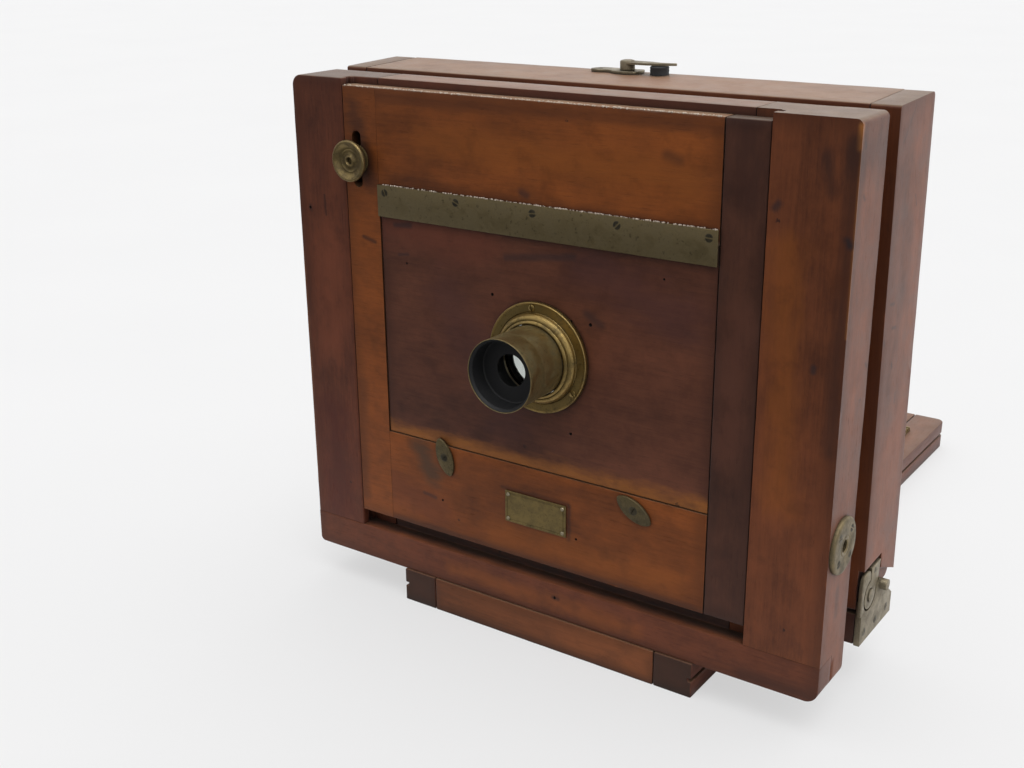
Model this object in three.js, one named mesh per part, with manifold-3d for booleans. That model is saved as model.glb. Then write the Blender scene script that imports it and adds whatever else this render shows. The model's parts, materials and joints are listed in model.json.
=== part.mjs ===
// Large format tailboard view camera with a rising front and a leaning back.
// Millimetres. +X points right as seen from the front, +Y runs from the lens to the ground glass,
// +Z is up. z = 0 is the surface the bed stands on, y = 0 the front face, x = 0 the middle.
import * as THREE from 'three';
import { mergeVertices } from 'three/addons/utils/BufferGeometryUtils.js';
import Module from 'manifold-3d';

const wasm = await Module();
wasm.setup();

// ---- driving dimensions -----------------------------------------------------------------
const GAP = 0.3;                 // joint line between glued or sliding pieces
const FRAME_W = 320;             // width of both standards
const HALF_W = FRAME_W / 2;
const FRAME_H = 279;             // height of the front standard above the bed
const FRONT_D = 31;              // depth of the front standard

const BED_T = 20;                // thickness of the bed
const BED_HALF = 93.5;           // half the width of the bed
const BED_RAIL_W = 22;
const BED_FRONT = -1;
const BED_BACK = 407;
const BED_CROSS_BACK = 42;       // rear edge of the front cross rail
const HINGE_Y = 130.2;           // where the tailboard folds
const HINGE_LIFT = 3;            // hinge axis above the bed's top
const GROOVE_Z = [9.3, 11.2];    // guide groove round the outside of the bed
const GROOVE_DEPTH = 2.2;

const FRONT_BOTTOM = BED_T;
const FRONT_TOP = FRONT_BOTTOM + FRAME_H;
const CHANNEL_D = 10;            // depth of the rising panel's channel
const CHANNEL_X = [-124.5, 120]; // the channel's side walls
const REAR_LAYER_X = 108;        // half width of the opening behind the panel
const SILL_LIP = 20;             // height of the bottom rail's front lip
const LAP_D = 15;                // how deep the bottom rail laps over the feet of the stiles
const FOOT_R = [3, 7];           // rounding of the left and right lower corners

const PANEL_Y = [0.3, 9.7];
const PANEL_X = [CHANNEL_X[0] + GAP, CHANNEL_X[1] - GAP];
const PANEL_Z = [50, 295.3];
const PANEL_RAIL_X = [-101.7, 97.6];
const BOARD_Z = [104.3, 237];
const BOARD_Y = [0.8, 6.6];
const LIP_W = 5;                 // rebate that carries the lens board
const TONGUE_Y = [5.2, 7.8];     // tongue on the panel's edges
const TONGUE_W = 2.2;

const LENS_Z = 167;              // lens axis above the table, on x = 0
const LENS_FRONT = -35;
const LENS_BACK = 0.4;
const HOOD_BACK = -23;
const GLASS_FRONT = -6.2;        // front rim of the glass
const STOP_R = 8.3;
const BARREL_R = 18.5;

const CLAMP_X = -116;            // clamp screw of the rising panel
const CLAMP_Z = 257;
const CLAMP_SHANK_R = 2.4;
const CLAMP_SLOT = 30;

const PIVOT_Y = 63.5;            // pivot that the back leans on
const PIVOT_Z = 51;
const LEAN = 1.9;                // degrees that the back leans forward at rest

const SILL_Y = [54, 99];
const SILL_Z = [25.5, 43];
const SILL_END = 156.8;
const PLATE_X = [157.1, 158.4, 160.2];  // inner face, layer line and outer face of a swing plate

const MODULE = 1;                // rack and pinion
const PINION_TEETH = 16;
const PINION_R = PINION_TEETH * MODULE / 2;
const RACK_PITCH = Math.PI * MODULE;
const RACK_X = [73, 79];
const RACK_PITCH_Z = BED_T + 2.2;
const PINION_Z = RACK_PITCH_Z + PINION_R;
const PINION_Y = HINGE_Y - 17 * RACK_PITCH;
const SHAFT_R = 2.6;

const BACK_D = [-10.2, 35.8];    // front and rear of the back, measured from its pivot
const BACK_H = [-5.5, 248.6];
const SIDE_T = 14;               // thickness of the back's boards
const GLASS_MID = 121.5;         // height of the picture's centre above the pivot

// ---- materials --------------------------------------------------------------------------
const finish = (color, roughness, metalness) => ({ color, roughness, metalness });
const MAHOGANY = finish(0x5c2e1c, 0.45, 0);
const HONEY_WOOD = finish(0x7a431f, 0.45, 0);
const DARK_WOOD = finish(0x3f211c, 0.45, 0);
const AGED_BRASS = finish(0x7d6c3f, 0.4, 0.9);
const DULL_BRASS = finish(0x6b6449, 0.55, 0.8);
const BLACKENED = finish(0x17161a, 0.6, 0.5);
const LEATHER = finish(0x141013, 0.8, 0);
const CLEAR_GLASS = finish(0xcfd8d8, 0.05, 0);
const GROUND_GLASS = finish(0xd9dcd8, 0.6, 0);

// ---- solids -----------------------------------------------------------------------------
function solid(geometry) {
  geometry.deleteAttribute('normal');
  geometry.deleteAttribute('uv');
  const merged = mergeVertices(geometry, 1e-4);
  const triangles = [];
  for (let i = 0; i < merged.index.count; i += 3) {
    const [a, b, c] = [0, 1, 2].map((k) => merged.index.getX(i + k));
    if (a !== b && b !== c && c !== a) triangles.push([a, b, c]);
  }
  const build = (corners) => new wasm.Manifold(new wasm.Mesh({
    numProp: 3,
    vertProperties: new Float32Array(merged.attributes.position.array),
    triVerts: new Uint32Array(corners.flat()),
  }));
  const body = build(triangles);
  return body.volume() > 0 ? body : build(triangles.map(([a, b, c]) => [a, c, b]));
}

const join = (first, ...rest) => rest.reduce((whole, piece) => whole.add(piece), first);
const cut = (first, ...rest) => rest.reduce((whole, piece) => whole.subtract(piece), first);

function box([x0, x1], [y0, y1], [z0, z1]) {
  const geometry = new THREE.BoxGeometry(x1 - x0, y1 - y0, z1 - z0);
  return solid(geometry.translate((x0 + x1) / 2, (y0 + y1) / 2, (z0 + z1) / 2));
}

// columns of the matrices: where the outline's two directions and its extrusion point
const ALONG = {
  x: new THREE.Matrix4().makeBasis(
    new THREE.Vector3(0, 1, 0), new THREE.Vector3(0, 0, 1), new THREE.Vector3(1, 0, 0)),
  y: new THREE.Matrix4().makeBasis(
    new THREE.Vector3(1, 0, 0), new THREE.Vector3(0, 0, 1), new THREE.Vector3(0, -1, 0)),
  z: new THREE.Matrix4(),
};

// outline in (y, z) along x, in (x, z) along y, or in (x, y) along z
function prism(axis, outline, [from, to], curveSegments = 6) {
  const shape = Array.isArray(outline)
    ? new THREE.Shape(outline.map(([u, v]) => new THREE.Vector2(u, v)))
    : outline;
  const depth = to - from;
  const geometry = new THREE.ExtrudeGeometry(shape, { depth, bevelEnabled: false, curveSegments });
  geometry.translate(0, 0, axis === 'y' ? -to : from);
  return solid(geometry.applyMatrix4(ALONG[axis]));
}

// profile of [radius, distance along the axis], turned about the axis through a centre
function turned(axis, profile, centre = [0, 0, 0], segments = 32) {
  const points = profile.map(([r, t]) => new THREE.Vector2(r, t));
  const geometry = new THREE.LatheGeometry(points, segments);
  if (axis === 'x') geometry.rotateZ(-Math.PI / 2);
  if (axis === 'z') geometry.rotateX(Math.PI / 2);
  return solid(geometry.translate(...centre));
}

const rod = (axis, r, [from, to], centre, segments = 24) =>
  turned(axis, [[0, from], [r, from], [r, to], [0, to]], centre, segments);

const ring = (axis, inner, outer, [from, to], centre, segments = 32) =>
  turned(axis, [[inner, from], [outer, from], [outer, to], [inner, to], [inner, from]],
    centre, segments);

// rectangle with a radius on each corner: bottom left, bottom right, top right, top left
function roundedRect([x0, x1], [z0, z1], [bl, br, tr, tl]) {
  const shape = new THREE.Shape();
  const corner = (x, z, r, turn) => {
    if (r > 0) shape.absarc(x, z, r, turn * Math.PI / 2, (turn + 1) * Math.PI / 2);
    else shape.lineTo(x, z);
  };
  shape.moveTo(x0 + bl, z0);
  corner(x1 - br, z0 + br, br, 3);
  corner(x1 - tr, z1 - tr, tr, 0);
  corner(x0 + tl, z1 - tl, tl, 1);
  corner(x0 + bl, z0 + bl, bl, 2);
  return shape;
}

// the camera's left and right pieces share one drawing: side is -1 or +1
const mirrored = (side, [a, b]) => (side > 0 ? [a, b] : [-b, -a]);

const camera = new THREE.Group();
camera.name = 'view_camera';

function add(name, body, look, parent = camera) {
  const { vertProperties, triVerts } = body.getMesh();
  const geometry = new THREE.BufferGeometry();
  geometry.setAttribute('position', new THREE.BufferAttribute(new Float32Array(vertProperties), 3));
  geometry.setIndex(new THREE.BufferAttribute(new Uint32Array(triVerts), 1));
  geometry.computeVertexNormals();
  const mesh = new THREE.Mesh(geometry, new THREE.MeshStandardMaterial(look));
  mesh.name = name;
  parent.add(mesh);
}

// ---- butt hinge -------------------------------------------------------------------------
// Drawn with its axis along x: leaves lie on z = 0 and the axis is lift above it. The fixed leaf
// runs towards -y and carries the pin; the moving leaf runs towards +y.
const KNUCKLE_R = 1.8;
const PIN_R = 1;
const LEAF_T = 1.2;

function hingeLeaf({ length, count, width, lift, moving }) {
  const pitch = length / count;
  const side = moving ? 1 : -1;
  const across = (a, b) => mirrored(side, [a, b]);
  const near = KNUCKLE_R + 0.5;
  let leaf = box([-length / 2, length / 2], across(near, width), [0, LEAF_T]);
  for (let i = moving ? 1 : 0; i < count; i += 2) {
    const start = -length / 2 + i * pitch + (i > 0 ? GAP / 2 : 0);
    const end = -length / 2 + (i + 1) * pitch - (i < count - 1 ? GAP / 2 : 0);
    leaf = join(leaf,
      box([start, end], across(0, near), [0, lift]),
      box([start, end], across(near - 0.01, near + 0.5), [0, LEAF_T]),
      rod('x', KNUCKLE_R, [start, end], [0, 0, lift], 16));
  }
  if (moving) return cut(leaf, rod('x', PIN_R + 0.25, [-length, length], [0, 0, lift], 12));
  return join(leaf, rod('x', PIN_R, [-length / 2, length / 2], [0, 0, lift], 12));
}

// ---- rack and pinion --------------------------------------------------------------------
const PRESSURE = THREE.MathUtils.degToRad(20);
const ADDENDUM = 0.8 * MODULE;
const DEDENDUM = MODULE;
const BACKLASH = 0.15;
const TOOTH = RACK_PITCH / 2 - BACKLASH;   // tooth thickness at the pitch line

function rack([y0, y1]) {
  const outline = [[y0, BED_T]];
  const tip = TOOTH / 2 - ADDENDUM * Math.tan(PRESSURE);
  const root = TOOTH / 2 + DEDENDUM * Math.tan(PRESSURE);
  const rootZ = RACK_PITCH_Z - DEDENDUM;
  const tipZ = RACK_PITCH_Z + ADDENDUM;
  outline.push([y1, BED_T], [y1, rootZ]);
  const first = Math.ceil((y0 + root - PINION_Y) / RACK_PITCH - 0.5);
  const last = Math.floor((y1 - root - PINION_Y) / RACK_PITCH - 0.5);
  for (let k = last; k >= first; k -= 1) {
    const y = PINION_Y + (k + 0.5) * RACK_PITCH;
    outline.push([y + root, rootZ], [y + tip, tipZ], [y - tip, tipZ], [y - root, rootZ]);
  }
  outline.push([y0, rootZ]);
  return outline;
}

function pinionOutline() {
  const base = PINION_R * Math.cos(PRESSURE);
  const involute = (angle) => Math.tan(angle) - angle;
  const atPitch = TOOTH / (2 * PINION_R) + involute(PRESSURE);
  const halfAngle = (r) => atPitch - involute(Math.acos(Math.min(1, base / r)));
  const radii = [PINION_R - DEDENDUM, PINION_R, PINION_R + ADDENDUM];
  const outline = [];
  for (let tooth = 0; tooth < PINION_TEETH; tooth += 1) {
    const middle = -Math.PI / 2 + tooth * 2 * Math.PI / PINION_TEETH;
    const flank = radii.map((r) => [r, halfAngle(Math.max(r, base))]);
    const corners = [...flank.map(([r, a]) => [r, -a]), ...flank.reverse()];
    for (const [r, a] of corners) {
      outline.push([PINION_Y + r * Math.cos(middle + a), PINION_Z + r * Math.sin(middle + a)]);
    }
  }
  return outline;
}

// ---- bed --------------------------------------------------------------------------------
// side rail with the guide groove along its outer side, round the far end where that is rounded
function bedRail(side, [y0, y1], cornerR) {
  const plan = (inset) => {
    const x = mirrored(side, [BED_HALF - BED_RAIL_W, BED_HALF - inset]);
    const r = Math.max(cornerR - inset, 0);
    const end = cornerR > 0 ? y1 - inset : y1;
    return roundedRect(x, [y0, end], side > 0 ? [0, 0, r, 0] : [0, 0, 0, r]);
  };
  const groove = cut(prism('z', plan(0), GROOVE_Z), prism('z', plan(GROOVE_DEPTH), GROOVE_Z));
  return cut(prism('z', plan(0), [0, BED_T]), groove);
}

const BED_END = HINGE_Y - 0.4;
const TAIL_START = HINGE_Y + 0.4;
const CROSS_X = [-(BED_HALF - BED_RAIL_W - GAP), BED_HALF - BED_RAIL_W - GAP];
const TRIPOD_Y = 86;

function buildBed() {
  for (const [side, word] of [[-1, 'left'], [1, 'right']]) {
    const rackX = mirrored(side, RACK_X);
    add(`bed_${word}_rail`, bedRail(side, [BED_FRONT, BED_END], 0), MAHOGANY);
    add(`bed_rack_${word}`, prism('x', rack([36, HINGE_Y - GAP]), rackX), AGED_BRASS);
    add(`tail_${word}_rail`, bedRail(side, [TAIL_START, BED_BACK], 6), MAHOGANY);
    add(`tail_rack_${word}`, prism('x', rack([HINGE_Y + GAP, 372]), rackX), AGED_BRASS);
  }
  add('bed_front_rail', box(CROSS_X, [BED_FRONT, BED_CROSS_BACK], [0, BED_T]), HONEY_WOOD);
  const centreBoard = box(CROSS_X, [BED_CROSS_BACK + GAP, BED_END], [3, BED_T]);
  const screwHole = rod('z', 5, [2, 16], [0, TRIPOD_Y, 0], 20);
  add('bed_centre_board', cut(centreBoard, screwHole), HONEY_WOOD);
  add('tail_front_rail', box(CROSS_X, [TAIL_START, 158], [0, BED_T]), MAHOGANY);
  const endGroove = box([-80, 80], [BED_BACK - GROOVE_DEPTH, BED_BACK + 1], GROOVE_Z);
  add('tail_rear_rail', cut(box(CROSS_X, [375, BED_BACK], [0, BED_T]), endGroove), MAHOGANY);
  add('tripod_plate', ring('z', 4.8, 19, [1, 2.7], [0, TRIPOD_Y, 0]), AGED_BRASS);
  for (const [word, moving] of [['fixed', false], ['moving', true]]) {
    const leaf = hingeLeaf({ length: 124, count: 5, width: 14, lift: HINGE_LIFT, moving });
    add(`tail_hinge_${word}_leaf`, leaf.translate(0, HINGE_Y, BED_T), AGED_BRASS);
  }
}

// ---- front standard ---------------------------------------------------------------------
function frontStile(side) {
  const outer = side > 0 ? [0, FOOT_R[1], 3, 0] : [FOOT_R[0], 0, 0, 6];
  const outline = roundedRect(mirrored(side, [REAR_LAYER_X, HALF_W]), [FRONT_BOTTOM, FRONT_TOP], outer);
  const wall = Math.abs(CHANNEL_X[side > 0 ? 1 : 0]);
  const channel = box(mirrored(side, [90, wall]), [-1, CHANNEL_D], [0, 400]);
  const groove = box(mirrored(side, [90, wall + TONGUE_W + 0.2]),
    [TONGUE_Y[0] - GAP, TONGUE_Y[1] + GAP], [FRONT_BOTTOM + SILL_LIP, 400]);
  const lap = box(mirrored(side, [90, HALF_W + 1]), [-1, LAP_D + GAP],
    [0, FRONT_BOTTOM + SILL_LIP + GAP]);
  return cut(prism('y', outline, [0, FRONT_D]), channel, groove, lap);
}

function frontBottomRail() {
  const lap = roundedRect([-HALF_W, HALF_W], [FRONT_BOTTOM, FRONT_BOTTOM + SILL_LIP], [...FOOT_R, 0, 0]);
  const behindX = [-(REAR_LAYER_X - GAP), REAR_LAYER_X - GAP];
  return join(prism('y', lap, [0, LAP_D]), box(behindX, [CHANNEL_D, FRONT_D], [FRONT_BOTTOM, 72]));
}

const BUSH_Y = 15;
const BUSH_Z = 99.5;

function buildFrontStandard() {
  const clampHole = rod('y', CLAMP_SHANK_R + 0.25, [CHANNEL_D - 1, 24], [CLAMP_X, 0, CLAMP_Z]);
  add('front_left_stile', cut(frontStile(-1), clampHole), MAHOGANY);
  const bushHole = rod('x', 3.6, [HALF_W - 12, HALF_W + 1], [0, BUSH_Y, BUSH_Z]);
  add('front_right_stile', cut(frontStile(1), bushHole), MAHOGANY);
  const inner = REAR_LAYER_X - GAP;
  add('front_top_rail', box([-inner, inner], [CHANNEL_D, FRONT_D], [262, FRONT_TOP]), MAHOGANY);
  add('front_bottom_rail', frontBottomRail(), MAHOGANY);
  const rim = 14.3;
  const bush = [[3.2, 0.1], [rim, 0.1], [rim, 1.6], [rim - 0.7, 2.2], [3.2, 2.2], [3.2, 0.1]];
  add('side_tripod_bush', turned('x', bush, [HALF_W, BUSH_Y, BUSH_Z], 28), DULL_BRASS);
}

// thumb screw with a dished head that clamps the rising panel
function buildRiseClamp() {
  const head = [[0, -6.4], [1.8, -6.6], [2.4, -5.6], [7.5, -6], [9.6, -7.7], [10.8, -7.7],
    [11.2, -6.6], [10.9, -5.2], [6, -3.2], [4.6, -2.4], [4.6, -1], [8, -0.9], [8, -0.05]];
  const shank = [[CLAMP_SHANK_R, -0.05], [CLAMP_SHANK_R, 22], [0, 22]];
  add('rise_clamp_knob', turned('y', [...head, ...shank], [CLAMP_X, 0, CLAMP_Z], 28), AGED_BRASS);
}

// ---- rising panel -----------------------------------------------------------------------
function panelStile(x, side) {
  const inner = side > 0 ? x[0] : x[1];
  const lip = side > 0 ? [inner - LIP_W, inner + 1] : [inner - 1, inner + LIP_W];
  const edge = side > 0 ? [x[1] - 1, x[1] + TONGUE_W] : [x[0] - TONGUE_W, x[0] + 1];
  return join(box(x, PANEL_Y, PANEL_Z),
    box(lip, [BOARD_Y[1] + GAP, PANEL_Y[1]], [BOARD_Z[0], BOARD_Z[1]]),
    box(edge, TONGUE_Y, PANEL_Z));
}

function panelRail([z0, z1], lipZ) {
  const lipX = [PANEL_RAIL_X[0] + LIP_W + GAP, PANEL_RAIL_X[1] - LIP_W - GAP];
  return join(box(PANEL_RAIL_X, PANEL_Y, [z0, z1]),
    box(lipX, [BOARD_Y[1] + GAP, PANEL_Y[1]], lipZ));
}

function clampSlot() {
  const half = 2.9;
  const outline = roundedRect([CLAMP_X - half, CLAMP_X + half],
    [CLAMP_Z - CLAMP_SLOT / 2, CLAMP_Z + CLAMP_SLOT / 2], [half, half, half, half]);
  return prism('y', outline, [-1, 11]);
}

function buildRisingPanel() {
  const leftX = [PANEL_X[0], PANEL_RAIL_X[0] - GAP];
  const rightX = [PANEL_RAIL_X[1] + GAP, PANEL_X[1]];
  const topZ = [BOARD_Z[1] + GAP, PANEL_Z[1]];
  const bottomZ = [PANEL_Z[0], BOARD_Z[0] - GAP];
  add('panel_left_stile', cut(panelStile(leftX, -1), clampSlot()), HONEY_WOOD);
  add('panel_right_stile', panelStile(rightX, 1), DARK_WOOD);
  add('panel_top_rail', panelRail(topZ, [topZ[0] - LIP_W, topZ[0] + 1]), HONEY_WOOD);
  add('panel_bottom_rail', panelRail(bottomZ, [bottomZ[1] - 1, bottomZ[1] + LIP_W]), HONEY_WOOD);
  const board = box(PANEL_RAIL_X, BOARD_Y, BOARD_Z);
  const lensHole = rod('y', BARREL_R + 4.5, [-1, 11], [0, 0, LENS_Z], 32);
  add('lens_board', cut(board, lensHole), DARK_WOOD);
  add('lens_board_strip', box([-102, 97.4], [-1, 0.2], [228, 245]), DULL_BRASS);
  add('nameplate', box([-21.6, 16.9], [-0.5, 0.2], [70, 88]), AGED_BRASS);
}

// slightly pointed oval button, drawn upright and then turned clockwise by the given degrees
function turnButton([x, z], degrees) {
  const long = 11;
  const half = 5.2;
  const shape = new THREE.Shape();
  shape.moveTo(0, long);
  for (const [side, end] of [[-1, -1], [1, 1]]) {
    shape.bezierCurveTo(side * half * 0.5, -end * long * 0.95, side * half, -end * long * 0.5,
      side * half, 0);
    shape.bezierCurveTo(side * half, end * long * 0.5, side * half * 0.5, end * long * 0.95,
      0, end * long);
  }
  const body = prism('y', shape, [-1.1, 0.1]);
  const head = rod('y', 2.1, [-1.7, -1.1], [0, 0, 0], 16);
  return join(body, head).rotate(0, degrees, 0).translate(x, 0, z);
}

function buildTurnButtons() {
  add('turn_button_left', turnButton([-62, 97.6], -20), DULL_BRASS);
  add('turn_button_right', turnButton([57.4, 96.4], -60), DULL_BRASS);
}

// ---- lens -------------------------------------------------------------------------------
// A single landscape lens: a washer stop behind the mouth and one meniscus at the barrel's rear.
function buildLens() {
  const centre = [0, 0, LENS_Z];
  const bore = BARREL_R + 0.3;
  const flange = [[bore, 0.7], [29.5, 0.7], [29.5, -1.6], [28.6, -2.3], [22.6, -2.3], [21.8, -3.6],
    [21.8, -5.6], [20.6, -6.4], [bore, -6.4], [bore, 0.7]];
  add('lens_flange', turned('y', flange, centre), AGED_BRASS);
  const inside = BARREL_R - 1.4;
  const seat = inside - 1.2;
  const neck = BARREL_R - 0.4;
  const barrel = [[neck, LENS_FRONT + 1], [neck, HOOD_BACK], [BARREL_R, HOOD_BACK],
    [BARREL_R, LENS_BACK], [inside, LENS_BACK], [inside, GLASS_FRONT - 0.2], [seat, GLASS_FRONT - 0.2],
    [seat, GLASS_FRONT - 1.4], [inside, GLASS_FRONT - 1.4], [inside, LENS_FRONT + 1],
    [neck, LENS_FRONT + 1]];
  add('lens_barrel', turned('y', barrel, centre), AGED_BRASS);
  const hoodR = BARREL_R + 0.3;
  const hood = [[hoodR, LENS_FRONT], [hoodR, HOOD_BACK - 0.3], [neck + 0.2, HOOD_BACK - 0.3],
    [neck + 0.2, LENS_FRONT + 0.7], [inside, LENS_FRONT + 0.7], [inside, LENS_FRONT],
    [hoodR, LENS_FRONT]];
  add('lens_hood', turned('y', hood, centre), AGED_BRASS);
  const loose = inside - 0.2;
  add('lens_stop', ring('y', STOP_R, loose, [-24.6, -23.6], centre), BLACKENED);
  const curve = [0, 0.5, 0.85];
  const hollow = curve.map((t) => [loose * t, GLASS_FRONT + 1.8 * (1 - t * t)]);
  const bulge = curve.map((t) => [loose * t, GLASS_FRONT + 3.6 + 2.4 * (1 - t * t)]).reverse();
  const glass = [...hollow, [loose, GLASS_FRONT], [loose, GLASS_FRONT + 3.6], ...bulge];
  add('lens_glass', turned('y', glass, centre), CLEAR_GLASS);
  add('lens_retaining_ring', ring('y', 16.3, loose, [GLASS_FRONT + 4.2, LENS_BACK - 0.3], centre),
    BLACKENED);
}

// ---- carriage ---------------------------------------------------------------------------
function carriageSill() {
  const section = [[SILL_Y[0], SILL_Z[0]], [SILL_Y[1], SILL_Z[0]], [SILL_Y[1], 38], [74, SILL_Z[1]],
    [SILL_Y[0], SILL_Z[1]]];
  const shaftBore = rod('x', SHAFT_R + 0.5, [-200, 200], [0, PINION_Y, PINION_Z]);
  const reach = PINION_R + 1.6;
  const pockets = [-1, 1].map((side) => box(mirrored(side, [RACK_X[0] - 0.6, RACK_X[1] + 0.6]),
    [PINION_Y - reach, PINION_Y + reach], [20, PINION_Z + reach]));
  return cut(prism('x', section, [-SILL_END, SILL_END]), shaftBore, ...pockets);
}

// runner on the bed's top with a lip that hooks into the bed's side groove
function runner(side) {
  const y = [50, 103];
  const outer = BED_HALF + 1.8;
  const top = SILL_Z[0] - GAP;
  return join(
    box(mirrored(side, [80.5, outer]), y, [BED_T + GAP, top]),
    box(mirrored(side, [BED_HALF + GAP, outer]), y, [GROOVE_Z[0] + 0.4, top]),
    box(mirrored(side, [BED_HALF - 1.7, outer]), y, [GROOVE_Z[0] + 0.4, GROOVE_Z[1] - 0.5]));
}

const fromPivot = (points) => points.map(([y, z]) => [PIVOT_Y + y, PIVOT_Z + z]);

// brass plate on the sill's end: a base with a hooked prong round the pivot, and two studs
function swingPlate(side) {
  const [inner, layer, outer] = PLATE_X;
  const foot = fromPivot([[-10, -25.5], [35, -25.5], [35, -14], [27.5, -8], [17.5, -0.5],
    [13.5, 4], [12.6, 4], [-10, 4]]);
  const pivotHole = [0, PIVOT_Y, PIVOT_Z];
  const baseLayer = join(
    prism('x', fromPivot([[-10, -25.5], [35, -25.5], [35, -14], [27.5, -8], [17.5, -0.5], [-10, -0.5]]),
      mirrored(side, [inner, layer])),
    rod('x', 8.8, mirrored(side, [inner, layer]), pivotHole));
  const prong = new THREE.Shape();
  prong.moveTo(PIVOT_Y - 12, PIVOT_Z - 8);
  prong.lineTo(PIVOT_Y - 4, PIVOT_Z - 8);
  prong.lineTo(PIVOT_Y - 0.8, PIVOT_Z + 8.4);
  prong.quadraticCurveTo(PIVOT_Y + 0.4, PIVOT_Z + 13.5, PIVOT_Y - 3.5, PIVOT_Z + 15);
  prong.quadraticCurveTo(PIVOT_Y - 11.5, PIVOT_Z + 16.5, PIVOT_Y - 12, PIVOT_Z + 8);
  const topLayer = cut(
    join(prism('x', foot, mirrored(side, [layer, outer])),
      prism('x', prong, mirrored(side, [layer, outer]))),
    rod('x', 8.7, mirrored(side, [layer, outer + 1]), pivotHole),
    prism('x', fromPivot([[0, 0], [8.6, -2], [12.8, 3], [15, 14], [0, 20], [-0.6, 8]]),
      mirrored(side, [layer, outer + 1])));
  const pivotStud = rod('x', 3.3, mirrored(side, [layer - 0.5, outer + 0.7]), pivotHole, 20);
  const clampStud = rod('x', 3, mirrored(side, [inner, outer + 3.6]),
    [0, PIVOT_Y + 16.5, PIVOT_Z - 0.8], 20);
  const plate = join(baseLayer, topLayer, pivotStud, clampStud);
  const shaftHole = rod('x', SHAFT_R + 0.5, [-200, -100], [0, PINION_Y, PINION_Z]);
  return side < 0 ? cut(plate, shaftHole) : plate;
}

// one pinion on each side, cut on the shaft that crosses the sill
function pinionShaft() {
  const gears = [-1, 1].map((side) => prism('x', pinionOutline(), mirrored(side, RACK_X)));
  return join(rod('x', SHAFT_R, [-171, 150], [0, PINION_Y, PINION_Z]), ...gears);
}

function focusKnob() {
  const ridges = 30;
  const shape = new THREE.Shape();
  for (let i = 0; i <= ridges * 2; i += 1) {
    const angle = Math.PI * i / ridges;
    const r = i % 2 ? 14 : 13.3;
    const point = [PINION_Y + r * Math.cos(angle), PINION_Z + r * Math.sin(angle)];
    if (i === 0) shape.moveTo(...point);
    else if (i < ridges * 2) shape.lineTo(...point);
  }
  const centre = [0, PINION_Y, PINION_Z];
  return cut(join(prism('x', shape, [-172, -165]), rod('x', 6.5, [-165.1, -161.4], centre)),
    rod('x', SHAFT_R + 0.2, [-171.2, -160], centre));
}

function buildCarriage() {
  add('carriage_sill', carriageSill(), DARK_WOOD);
  for (const [side, word] of [[-1, 'left'], [1, 'right']]) {
    add(`carriage_${word}_runner`, runner(side), DULL_BRASS);
    add(`swing_plate_${word}`, swingPlate(side), DULL_BRASS);
  }
  add('focus_pinion_shaft', pinionShaft(), AGED_BRASS);
  add('focus_knob', focusKnob(), AGED_BRASS);
}

// ---- back: everything here is measured from the pivot and leans with the group -----------
const back = new THREE.Group();
back.position.set(0, PIVOT_Y, PIVOT_Z);
back.rotation.x = THREE.MathUtils.degToRad(LEAN);
camera.add(back);

const INSIDE_X = HALF_W - SIDE_T - GAP;
const INSIDE_Z = [BACK_H[0] + SIDE_T + GAP, BACK_H[1] - SIDE_T - GAP];

function backSide(side) {
  const board = prism('x', roundedRect(BACK_D, BACK_H, [1.5, 5, 2.5, 1.5]),
    mirrored(side, [HALF_W - SIDE_T, HALF_W]));
  const recess = [[-40, -20], [40, -20], [40, -3.5], [14.2, 9], [13.8, 17.5], [-40, 17.5]];
  return cut(board, prism('x', recess, mirrored(side, [SILL_END, HALF_W + 5])));
}

// strap on the back's side board, with an eye round the plate's pivot stud
function swingTongue(side) {
  const [inner, layer, outer] = PLATE_X;
  const thin = mirrored(side, [layer + GAP, outer]);
  const strap = [[-3, 6.5], [0.6, 8.2], [0.6, 15], [12.6, 15], [11.2, 6], [7.2, -1]];
  const eye = join(rod('x', 7.6, thin, [0, 0, 0]), prism('x', strap, thin));
  const root = prism('x', [[0.6, 9.7], [11.9, 9.7], [12.6, 15], [0.6, 15]],
    mirrored(side, [inner, outer]));
  return cut(join(eye, root), rod('x', 3.7, mirrored(side, [inner, outer + 1]), [0, 0, 0], 20));
}

function windowFrame(halfX, halfZ, openX, openZ, y) {
  const z = (half) => [GLASS_MID - half, GLASS_MID + half];
  return cut(box([-halfX, halfX], y, z(halfZ)), box([-openX, openX], [y[0] - 1, y[1] + 1], z(openZ)));
}

function bellows(halfX, z, wall, y) {
  return cut(box([-halfX, halfX], y, z),
    box([-halfX + wall, halfX - wall], [y[0] - 1, y[1] + 1], [z[0] + wall, z[1] - wall]));
}

// top latch: a lobed plate, a round post, and an arm that swings over them
const LATCH_X = 0.5;
const LATCH_Y = 28.5;
const TOP = BACK_H[1] + GAP;

function latchPlate() {
  const shape = new THREE.Shape();
  shape.moveTo(-21, LATCH_Y - 1);
  shape.quadraticCurveTo(-19.5, LATCH_Y - 5, -14, LATCH_Y - 4);
  shape.quadraticCurveTo(-9, LATCH_Y - 2, -6, LATCH_Y - 5);
  shape.quadraticCurveTo(1, LATCH_Y - 8, 8, LATCH_Y - 5);
  shape.quadraticCurveTo(10.5, LATCH_Y, 8, LATCH_Y + 5);
  shape.lineTo(-14, LATCH_Y + 5);
  shape.quadraticCurveTo(-20, LATCH_Y + 5, -21, LATCH_Y - 1);
  return prism('z', shape, [TOP, TOP + 1.2]);
}

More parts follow.
